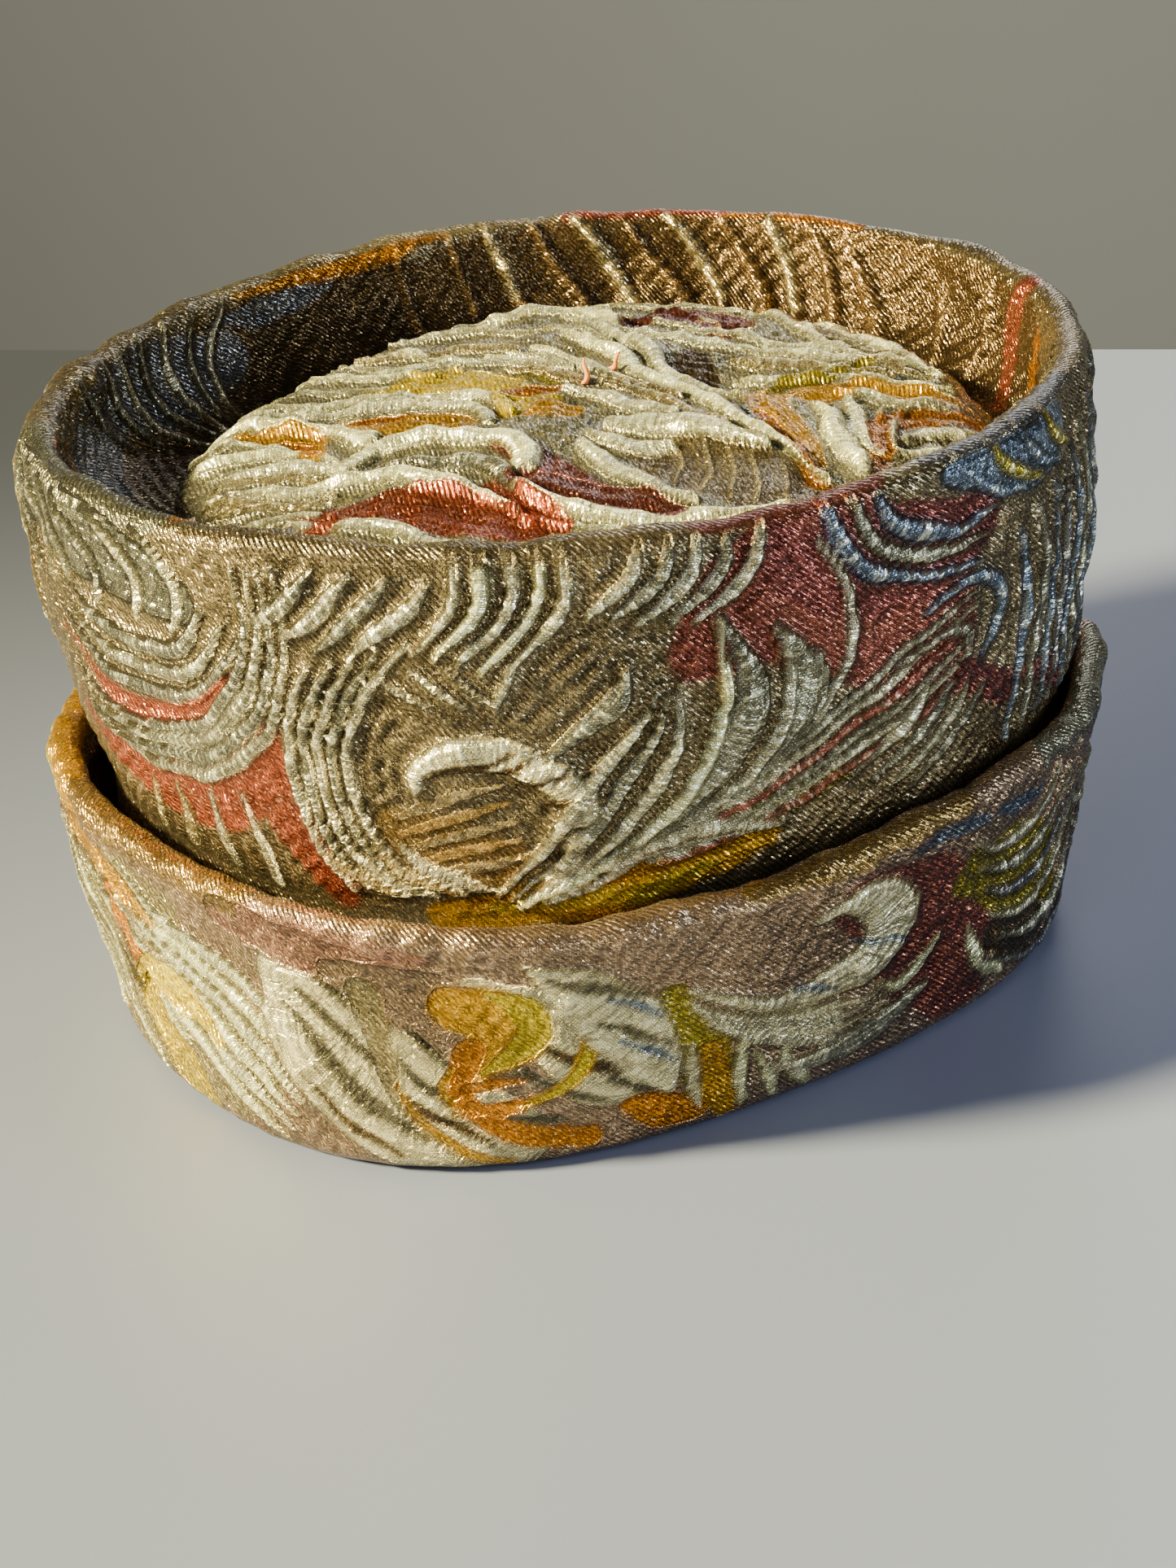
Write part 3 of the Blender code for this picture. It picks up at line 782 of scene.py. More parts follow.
cuff_relief = (cuff_lift
               + CUFF_CRUMPLE * crumple(cuff_points, 17.0, seed=1) * fade(cuff_way, 16.0, 56.0, margin=14.0)
               + CUFF_CREASES * crumple(cuff_points, 5.0, seed=2) * fade(cuff_way, 2.0, 60.0, margin=3.0)
               + CREST_PUCKER * crest_pucker * fade(cuff_way, 51.0, 57.0, margin=4.0))
sculpt(cuff_data, cuff_relief)
dress(cuff_data, cuff_chart, cuff_lift, cuff_turns * MM_PER_DEGREE, cuff_way, 360 * MM_PER_DEGREE)
cuff_material = brocade("cuff brocade", slant=45.0, glitter=0.06, crest=1.0)
add_piece("cuff_cloth", cuff_data, cuff_material, "cuff")


# Side band
# The tall upper tier: one piece of padded brocade up the outside, over a soft rolled rim and down
# the well, pulled in gathers towards the ledge on which the crown tip is sewn.
HAT_HEIGHT = 0.1180
RIM_ROLL = 0.0031
BAND_WALL = 0.0026
BAND_FOOT = 0.0053
LEDGE_HEIGHT = 0.0926
LEDGE_REACH = 0.007
BAND_BELLY = 0.0031
SEAT_LINE = Outline(0.0964, 0.0829, 0.0020, 0.0019, 0.0008, 6.0, 0.0012, 43.0)
RIM_LINE = Outline(0.1039, 0.0900, -0.0051, 0.0045, 0.0013, 0.0, 0.0010, 3.0)
TIP_LINE = Outline(0.0810, 0.0684, 0.0017, 0.0047, 0.0011, 46.0, 0.0000, 0.0)
RIM_WAVES = [Wave(1, 0.0013, 7.0), Wave(2, 0.0007, 0.0), Wave(3, 0.0004, 74.0)]
BAND_BULGES = [
    Bulge(134.0, 0.098, 26.0, 0.020, 0.0016),
    Bulge(205.0, 0.094, 16.0, 0.016, -0.0010),
    Bulge(245.0, 0.078, 20.0, 0.022, 0.0010),
    Bulge(300.0, 0.096, 18.0, 0.016, -0.0009),
    Bulge(30.0, 0.086, 24.0, 0.022, 0.0009),
]
WELL_GATHERS = [Gather(28.0, 30.0, 4, 0.0017), Gather(78.0, 26.0, 3, 0.0008), Gather(250.0, 40.0, 4, 0.0007)]
RIM_HEIGHT = HAT_HEIGHT - RIM_ROLL
WELL_DEPTH = RIM_HEIGHT - LEDGE_HEIGHT
WELL_STEPS = ((0.0, 0.0), (0.12, 0.42), (0.36, 0.76), (0.70, 0.94), (1.0, 1.0))
WELL_REACH = 0.0165
# How far the well runs in and down, in millimetres, for an even spacing of its rows
WELL_SIZE = (17.0, 22.0)


def band_row(turns, station):
    outward, height, to_tip = station
    seat = outline_points(SEAT_LINE, turns, outward)
    if height < CUFF_CREST:
        rise = (height - BASE_FOLD) / (CUFF_CREST - BASE_FOLD)
        spots = outline_points(BASE_LINE, turns, outward - CUFF_WALL - GAP) * (1 - rise) + seat * rise
    else:
        rise = min(1.0, (height - CUFF_CREST) / (RIM_HEIGHT - CUFF_CREST))
        spots = seat * (1 - rise) + outline_points(RIM_LINE, turns, outward) * rise
        spots = push_out(spots, BAND_BELLY * hump(rise) + bulge_push(BAND_BULGES, turns, height))
    if to_tip > 0.0:
        ledge = outline_points(TIP_LINE, turns, GAP - LEDGE_REACH * max(0.0, to_tip - 1.0))
        share = min(1.0, to_tip)
        spots = spots * (1 - share) + ledge * share
        spots = push_out(spots, gather_push(WELL_GATHERS, turns) * math.sin(math.pi * share))
    level = LEDGE_HEIGHT if to_tip > 0.0 else CUFF_CREST
    lift = max(0.0, (height - level) / (HAT_HEIGHT - level))
    return np.column_stack([spots, height + wave_rise(RIM_WAVES, turns) * lift])


def well_stations(count):
    """Stations from the rim down the bowl-like well to the crown tip's ledge."""
    curve = smooth_path(WELL_STEPS, steps=12)
    way = way_along(np.diff(curve, axis=0) * WELL_SIZE)
    even = np.linspace(0, way[-1], count + 1)[1:]
    to_tip = np.interp(even, way, curve[:, 0])
    depth = np.interp(even, way, curve[:, 1])
    return [(-2 * RIM_ROLL, RIM_HEIGHT - d * WELL_DEPTH, max(1e-4, t)) for t, d in zip(to_tip, depth)]


BAND_CHART = [
    # the left side: grey and coral crescents, the darkest grey partly painted shade, coral ground with grey
    # fingers under them
    wash("taupe", (8, 18, 20, 12), (160, 100), (174, 98), (186, 98), (196, 96)),
    wash("coral", (6, 12, 14, 12, 6), (162, 72), (174, 66), (186, 68), (196, 76), (199, 86)),
    wash("coral", (6, 9, 11, 8), (198, 84), (199, 74), (200, 66), (204, 56)),
    figure("ash", 0.35, (2, 10, 14, 14, 8), (140, 113), (152, 112), (166, 112), (180, 109), (190, 105)),
    *fan(7, ("pewter", "ash", "silver"), 0.8, (1, 2.4, 2.8, 1),
         ((142, 116), (148, 112), (153, 106), (156, 99)), ((184, 116), (188, 111), (190, 106), (189, 100))),
    *fan(3, ("ash", "pewter"), 0.7, (1, 3, 3.4, 3, 1),
         ((171, 101), (178, 96), (185, 95.5), (190, 98), (193, 104)),
         ((168, 94), (177, 87.5), (186, 87), (193, 92), (197.5, 101))),
    wash("coral", (1, 3.6, 4.4, 4, 1), (166, 90), (176, 83), (184, 82.5), (191, 87), (196, 94)),
    *fan(4, ("ash", "pewter"), 0.8, (1, 2.4, 2.8, 2.8, 2.4, 1.6, 1),
         ((169, 84), (178, 79.6), (187, 81.4), (193, 87), (197, 95), (198.6, 104), (198, 113)),
         ((167, 76), (178, 71.6), (190, 74.5), (197.4, 82), (202, 93), (203.4, 104), (203, 114))),
    figure("champagne", 0.5, (1, 3, 2), (176, 66), (175, 60), (174, 54)),
    figure("champagne", 0.5, (1, 3, 2.4), (181.5, 69), (181, 62), (180, 55)),
    figure("silver", 0.5, (1, 3, 3), (188, 71), (188, 63), (187, 55)),
    figure("silver", 0.5, (1, 2.6, 2.6), (193.5, 72), (194, 63), (194, 54)),
    # the long upright scroll of several ridges
    *fan(5, ("silver", "pewter"), 0.8, (1, 2.2, 2.4, 2.4, 2, 1),
         ((206, 99), (203.4, 91), (201.6, 83), (201.4, 75), (202.6, 66), (206, 56)),
         ((217, 103), (212.4, 95), (209.6, 87), (208.8, 79), (209.6, 71), (213, 61))),
    # the comb of curved ridges under the rim, and the slanting ridges beside it
    *fan(5, ("silver", "cream"), 1.0, (2, 2.5, 2.5, 1),
         ((222.4, 118), (222.4, 112), (221, 107), (217.6, 101.5)),
         ((232.8, 118), (233, 111), (231, 104.5), (226.6, 98))),
    *fan(4, ("pewter", "silver"), 0.85, (1, 3, 3, 1),
         ((207.6, 113.6), (205.4, 110), (202.6, 106.6), (199.6, 104)),
         ((219.6, 113), (217.4, 108.6), (214.4, 104.6), (210.6, 100.6))),
    figure("silver", 0.8, (1, 2.4, 1), (227.6, 99), (226.4, 95.6), (225.4, 92)),
    *fan(3, ("pewter", "silver"), 0.5, (0.8, 1.8, 0.8),
         ((213, 98), (215.6, 94.6), (218.6, 92)), ((221, 99), (223, 95.6), (225.6, 93))),
    # the middle curl: a broad arch cut by dark slits, with slanting ribs under it
    wash("bronze", (8, 14, 12), (213, 70), (219, 66), (224, 62)),
    *fan(5, ("taupe", "bronze"), 0.45, (0.8, 2, 2, 0.8),
         ((213, 72), (217, 74.5), (221, 76.5), (225, 78)), ((215, 60), (219, 61.5), (223, 63), (227, 65))),
    figure("satin", 1.0, (1.6, 4.6, 6.4, 6.8, 6.8, 6.4, 5.6, 4.6, 3, 1), (216, 77), (217, 81.4),
           (220.2, 83.9), (225, 84.2), (229.2, 81), (232.1, 76), (232.7, 71), (231.6, 65.6), (229.2, 60.4),
           (227, 57.4)),
    hatch("umber", 0.45, (0.8, 1.5, 1.5, 0.8), (217, 79.4), (220, 81.4), (223.6, 82.2), (226.6, 84.6)),
    hatch("umber", 0.45, (0.8, 1.6, 0.8), (223.8, 80.2), (226.4, 81.6), (228.6, 84.2)),
    hatch("umber", 0.45, (0.8, 1.6, 0.8), (226.6, 77.4), (229, 79), (231.6, 81)),
    hatch("umber", 0.45, (0.8, 1.6, 0.8), (228.6, 73.6), (231, 75), (234, 76)),
    hatch("umber", 0.40, (0.8, 1.5, 0.8), (229.4, 68.6), (231.6, 70), (234, 70.4)),
    hatch("umber", 0.40, (0.8, 1.4, 0.8), (228.6, 63.6), (230.6, 65), (232.6, 65.4)),
    *fan(4, ("champagne", "silver"), 0.5, (1, 3, 3, 1),
         ((203.6, 64), (206, 60.6), (209.4, 57.6), (213, 56)),
         ((213, 67), (215.6, 63), (219, 59.6), (222.6, 57.6))),
    # gold and olive along the cuff
    wash("gold", (5, 9, 10, 9, 6), (216, 52), (225, 54), (234, 55), (243, 57), (252, 60)),
    wash("yellow", (2, 5, 5, 2), (222, 54), (230, 55), (238, 54), (246, 57)),
    wash("olive", (3, 5, 6, 4), (236, 62), (244, 64), (252, 66), (260, 67)),
    # rose ground at the right
    wash("rose", (10, 22, 30, 28, 16), (245, 98), (251, 104), (258, 104), (265, 96), (270, 84)),
    wash("burgundy", (8, 16, 18, 12), (253, 112), (259, 106), (266, 104), (274, 104)),
    wash("burgundy", (4, 6, 6), (264, 84), (272, 78), (282, 68)),
    wash("rose", (3, 6, 5), (284, 70), (290, 66), (296, 60)),
    # the feathers and spiky leaves, rooted together at the cuff
    *fan(3, ("silver", "pewter"), 1.0, (1.4, 2, 2.8, 3, 2.2, 0.8),
         ((222.6, 57), (227.6, 64), (231, 71.4), (234, 78.4), (237.6, 84.6), (240.6, 92)),
         ((225.6, 55), (232.6, 62.4), (237.6, 70), (240.4, 77), (242.6, 84), (243, 93))),
    figure("pewter", 0.8, (1, 3.6, 4.4, 1), (229.4, 83), (233, 87), (236.4, 91), (238, 97)),
    figure("pewter", 0.7, (1, 4, 6, 7.4, 5, 0.6), (232.4, 60.6), (240, 67), (245.6, 75), (249, 84),
           (249.8, 92), (247.4, 103)),
    figure("cream", 1.2, (1.6, 2, 2.2, 2.6, 2.4, 1.8, 0.8), (225, 54), (232, 59.6), (238.6, 66),
           (243, 73.6), (246, 82), (247.2, 91), (247, 102.6)),
    figure("pewter", 0.7, (1, 3.4, 6, 8, 5, 0.6), (240, 62.6), (247.4, 69), (252.6, 76.4), (255.6, 84),
           (255.8, 91), (252.8, 100)),
    figure("silver", 1.2, (1.6, 2, 2.2, 2.4, 2.6, 2, 0.8), (228, 54.6), (236.6, 60.6), (244, 67),
           (249.4, 74.4), (252.6, 82), (253.8, 90), (252.8, 99)),
    figure("pewter", 0.7, (1, 1.8, 2, 1.6, 0.8), (249, 70), (253.6, 75.6), (256.6, 81.6), (257.6, 88),
           (256.8, 94)),
    # the long plume, its curled end and its short fingers
    *fan(6, ("pewter", "silver", "rose"), 0.7, (1, 1.6, 2, 2.2, 2, 1),
         ((236, 63.6), (245, 69), (253, 75.4), (261, 82.4), (268, 88.6), (275, 92.6)),
         ((240, 59.6), (249, 62.6), (257, 66), (264, 70), (269, 74), (273, 78.6))),
    figure("blue", 0.8, (1, 2.4, 3.4, 3, 1.6), (268, 92.6), (273, 95), (277.4, 92), (278, 85.4),
           (275.6, 79)),
    figure("pewter", 0.7, (1, 2, 2.6, 1), (266, 85), (270.6, 87.4), (273.6, 85), (273.4, 80.4)),
    *fan(4, ("silver", "pewter"), 0.8, (1, 2.6, 2.8, 1),
         ((262, 66), (265, 70.6), (267.4, 75), (268.6, 79)),
         ((269.6, 57.6), (272.4, 62.6), (275, 68), (276.4, 73.4))),
    figure("silver", 0.8, (1, 3.4, 4, 3, 1), (234.6, 60.6), (240, 63.6), (245, 65), (250, 63.4), (254, 61)),
    *fan(5, ("silver", "pewter"), 0.9, (1.2, 2.4, 2.6, 1),
         ((240.4, 117), (239.4, 112.6), (237.4, 109.4), (234.4, 106.4)),
         ((252, 117), (251, 111.6), (248.4, 107), (244.8, 102.6))),
    figure("silver", 0.7, (1, 1.8, 2.2, 2, 0.8), (257.6, 112), (260, 103), (260.4, 95), (259.2, 87.6),
           (256.4, 80)),
    # blue-silver hooks high on the right, then long upright ridges round the end
    *fan(3, ("blue", "pewter"), 0.8, (1.6, 2.8, 3.2, 2.4, 1),
         ((258.4, 119), (259.6, 110.6), (262.6, 104), (268, 99.6), (275, 97)),
         ((263.6, 116), (265.4, 110.4), (268.6, 106.6), (272.4, 105), (277, 106))),
    figure("blue", 0.4, (4, 10, 12, 8), (271, 115), (277.4, 112.4), (284, 111), (290, 113)),
    *fan(4, ("blue", "olive"), 0.8, (1, 2.2, 2.6, 1),
         ((271.6, 119), (273.4, 113), (277, 108.6), (282, 106)),
         ((286, 120), (286.6, 115), (288.6, 111), (292, 108))),
    *fan(9, ("blue", "pewter", "blue", "smoke"), 0.9, (1, 2.8, 3.2, 3, 1.6),
         ((280.6, 99), (282.4, 90), (283, 80), (282.6, 70), (283.6, 57)),
         ((309, 116), (311, 102), (310.6, 88), (308.6, 74), (310, 60))),
    *fan(4, ("silver", "champagne"), 0.7, (1, 3.4, 3.8, 1),
         ((315, 116), (315.6, 102), (316.4, 88), (320, 72)),
         ((330, 118), (328.4, 108), (330, 98), (335, 88))),
]
# The rim and the well, charted on the cloth's way up: 118 on the rim, 125 inside it, 153 at the ledge
WELL_CHART = [
    wash("umber", (12, 26, 30, 26, 14), (66, 140), (76, 137), (90, 138), (104, 140), (120, 144)),
    wash("smoke", (10, 20, 24, 14), (100, 134), (112, 134), (124, 136), (136, 138)),
    wash("russet", (5, 12, 6), (112, 146), (122, 144), (132, 146)),
    wash("smoke", (2, 5, 5, 2), (84, 126), (89, 128), (94, 128), (99, 127)),
    wash("champagne", (4, 7, 7, 4), (62, 121), (76, 121), (88, 121), (98, 121)),
    wash("orange", (1, 3, 3, 1), (66, 122), (76, 124), (86, 124), (96, 123)),
    wash("coral", (4, 9, 9, 5), (22, 121), (30, 123), (38, 123), (46, 122)),
    wash("orange", (3, 6, 5), (4, 121), (14, 122), (22, 122)),
    wash("russet", (26, 30, 30, 26), (-30, 137), (0, 137), (30, 137), (64, 137)),
    wash("umber", (10, 16, 16, 10), (-4, 146), (20, 146), (44, 146), (66, 146)),
    wash("coral", (5, 6, 6, 5), (332, 122), (335, 130), (334, 138), (331, 146)),
    wash("orange", (3, 5, 4), (324, 128), (325, 136), (323, 144)),
    # grey fanned ridges at the left
    figure("silver", 0.7, (1, 2.4, 2.4, 1), (98, 124), (102, 132), (104, 141), (104, 149)),
    figure("pewter", 0.7, (1, 2.4, 2.4, 1), (103, 123), (106, 131), (107, 140), (106, 149)),
    figure("silver", 0.7, (1, 2.4, 2.4, 1), (108, 122), (110, 130), (110, 140), (108, 150)),
    figure("pewter", 0.7, (1, 2.4, 2.6, 1), (113, 122), (114, 131), (113, 141), (110, 151)),
    figure("silver", 0.7, (1, 2.4, 2.6, 1), (118, 122), (118, 132), (116, 143), (112, 152)),
    figure("pewter", 0.7, (1, 2.6, 3, 1), (123, 123), (122, 133), (119, 144)),
    figure("pewter", 0.6, (1, 3, 3, 1), (130, 122), (128, 131), (124, 141)),
    # gathers pulled down to the ledge at the back
    fold(1.7, (1, 5, 6, 3), (4, 126), (2, 133), (0, 141), (-2, 150)),
    fold(1.6, (1, 5, 6, 3), (10, 123), (7, 131), (6, 141), (6, 151)),
    fold(1.8, (2, 5, 6, 3), (17, 121), (14, 130), (12, 140), (11, 151)),
    fold(1.6, (2, 5, 6, 2), (24, 122), (20, 130), (17, 140), (16, 151)),
    fold(1.9, (2, 6, 7, 3), (32, 122), (27, 130), (24, 139), (22, 150)),
    fold(1.5, (2, 5, 6, 3), (39, 122), (35, 131), (30, 141), (28, 151)),
    fold(1.6, (2, 6, 6, 3), (46, 122), (42, 130), (38, 140), (36, 151)),
    fold(1.4, (2, 5, 5, 2), (53, 122), (50, 131), (46, 141), (44, 151)),
    fold(1.5, (2, 4, 5, 2), (60, 121), (58, 130), (56, 140), (54, 150)),
    fold(1.2, (2, 4, 4, 2), (66, 122), (65, 131), (64, 141)),
    fold(1.0, (2, 4, 4, 2), (74, 123), (74, 132), (73, 142)),
    fold(1.3, (1, 6, 6, 2), (352, 128), (350, 136), (349, 145)),
    fold(1.2, (1, 6, 6, 2), (342, 126), (341, 135), (342, 145)),
    *[wash("champagne", (2, 4, 3), *path) for path in (
        ((32, 122), (27, 130), (24, 139)), ((17, 121), (14, 130), (12, 140)),
        ((60, 121), (58, 130), (57, 136)), ((46, 122), (42, 130), (38, 140)))],
]
RIM_DYES = [
    wash("pewter", (8, 9, 8), (150, 119), (168, 119), (186, 119)),
    wash("taupe", (7, 8, 8, 7), (192, 119), (208, 119), (226, 119), (243, 119)),
    wash("rose", (5, 6, 5), (247, 119.5), (256, 119.5), (264, 119.5)),
    wash("smoke", (5, 7, 5), (270, 120), (282, 120), (296, 120)),
]
BAND_SEGMENTS = 650
BAND_ROW_STEP = 0.00088
WELL_ROWS = 30
BAND_PUFF, BAND_CRUMPLE, BAND_CREASES = 1.45, 0.75, 0.16
RIM_PUCKERS, RIM_PUCKER = 70, 0.10
RIM_FLATTENING = 0.8
WELL_SHADE = 0.6
band_face = [(0.0, BAND_FOOT, 0.0), (0.0, 0.030, 0.0)]
band_face += [spot + (0.0,) for spot in rows_between((0.0, 0.044), (0.0, RIM_HEIGHT), BAND_ROW_STEP)]
band_face += [spot + (0.0,) for spot in arc(-RIM_ROLL, RIM_HEIGHT, RIM_ROLL, 0, 180, steps=11)]
band_face += well_stations(WELL_ROWS)
band_face.append((-2 * RIM_ROLL, LEDGE_HEIGHT, 2.0))
band_reverse = [
    (-2 * RIM_ROLL, LEDGE_HEIGHT - BAND_WALL, 2.0),
    (-2 * RIM_ROLL, LEDGE_HEIGHT - BAND_WALL, 1.0),
    (-2 * RIM_ROLL, LEDGE_HEIGHT - BAND_WALL / 2, 0.70),
    (-2 * RIM_ROLL, 0.0945, 0.40),
    (-2 * RIM_ROLL, 0.1010, 0.16),
    (BAND_WALL - 2 * RIM_ROLL, RIM_HEIGHT, 0.0),
    *[(-BAND_WALL, height, 0.0)
      for height in (RIM_HEIGHT, 0.098, 0.082, 0.066, CUFF_CREST, 0.030, BAND_FOOT)],
]
band_data, band_turns, band_rows = spun_shell(
    "side_band_mesh", band_face + band_reverse, BAND_SEGMENTS, band_row)
inward = np.array([[outward - to_tip * WELL_REACH, height] for outward, height, to_tip in band_face])
band_lengths = way_along(np.diff(inward, axis=0)) * 1000 + BAND_FOOT * 1000
band_way = way_up(band_lengths, band_reverse, band_rows)
band_points = read_points(band_data) * 1000
band_chart = Chart(band_points, band_turns, band_way, "taupe", wraps=True)
for turned in (0.0, 180.0):
    band_chart.lay(BAND_CHART, turned)
# Plain ground over what ran past the rim from the outside, before the well has its own chart
band_chart.lay([
    wash("taupe", (30, 30, 30, 30), (20, 138), (110, 138), (200, 138), (290, 138)),
    wash("taupe", (30, 30, 30), (290, 138), (330, 138), (380, 138)),
])
for turned in (0.0, 180.0):
    band_chart.lay(WELL_CHART, turned)
band_chart.lay(RIM_DYES)
rim_pucker = np.sin(np.radians(band_turns * RIM_PUCKERS) + 3.0 * crumple(band_points, 22.0, seed=14))
band_echo = band_chart.echoes(pitch=2.8, height=0.34) + band_chart.slants(
    band_turns * MM_PER_DEGREE, band_way, angle=38.0, pitch=3.3, height=0.24,
    waviness=crumple(band_points, 26.0, seed=16))
rim_press = 1 - RIM_FLATTENING * fade(band_way, 117.0, 121.0, margin=4.0)
band_lift = BAND_PUFF * band_chart.swollen(band_points) + band_echo
band_lift = band_lift * fade(band_way, 55.0, 150.0, margin=4.0) * rim_press
band_creases = BAND_CREASES * crumple(band_points, 5.0, seed=12) * fade(band_way, 55.0, 150.0, margin=3.0)
band_relief = (band_lift
               + BAND_CRUMPLE * crumple(band_points, 20.0, seed=11) * fade(band_way, 62.0, 148.0, margin=8.0)
               + band_creases * rim_press
               + RIM_PUCKER * rim_pucker * fade(band_way, 122.0, 128.0, margin=4.0))
sculpt(band_data, band_relief)
# Painted shade: the colour is made darker down the well, where shade falls
band_lift -= WELL_SHADE * smooth_step(band_way, 122.0, 128.0)
dress(band_data, band_chart, band_lift, band_turns * MM_PER_DEGREE, band_way, 360 * MM_PER_DEGREE)
band_material = brocade("band brocade", slant=45.0, glitter=0.07, crest=1.1)
add_piece("side_band_cloth", band_data, band_material, "side_band")


# Crown tip
# The sunken oval top: brocade over wadding, its edge tucked under on the ledge. The padding makes
# its figure stand up in rounded fingers, with a dent and a few valleys between them.
TIP_CENTRE_HEIGHT = 0.1098
TIP_SHOULDER_HEIGHT = 0.1046
TIP_FULLEST_HEIGHT = 0.0995
TIP_WALL = 0.0040
TIP_DOME_POWER = 2.2
Puff = namedtuple("Puff", "side back spread rise")
TIP_PUFFS = [
    Puff(-0.30, 0.35, 0.016, 0.0014),
    Puff(0.18, 0.30, 0.009, -0.0022),
    Puff(-0.52, -0.30, 0.011, -0.0014),
    Puff(-0.05, -0.35, 0.018, 0.0012),
    Puff(0.45, 0.55, 0.015, 0.0010),
    Puff(0.50, -0.15, 0.014, -0.0010),
]


def tip_row(turns, station):
    share, height = station
    centre = np.array([TIP_LINE.shift_side, TIP_LINE.shift_back])
    spots = centre * (1 - share) + line_points(TIP_LINE, turns) * share
    heights = np.full(len(turns), height)
    if height > TIP_FULLEST_HEIGHT:
        for puff in TIP_PUFFS:
            middle = centre + (puff.side * TIP_LINE.half_width, puff.back * TIP_LINE.half_length)
            heights += puff.rise * bell(np.linalg.norm(spots - middle, axis=1) / puff.spread)
    return np.column_stack([spots, heights])


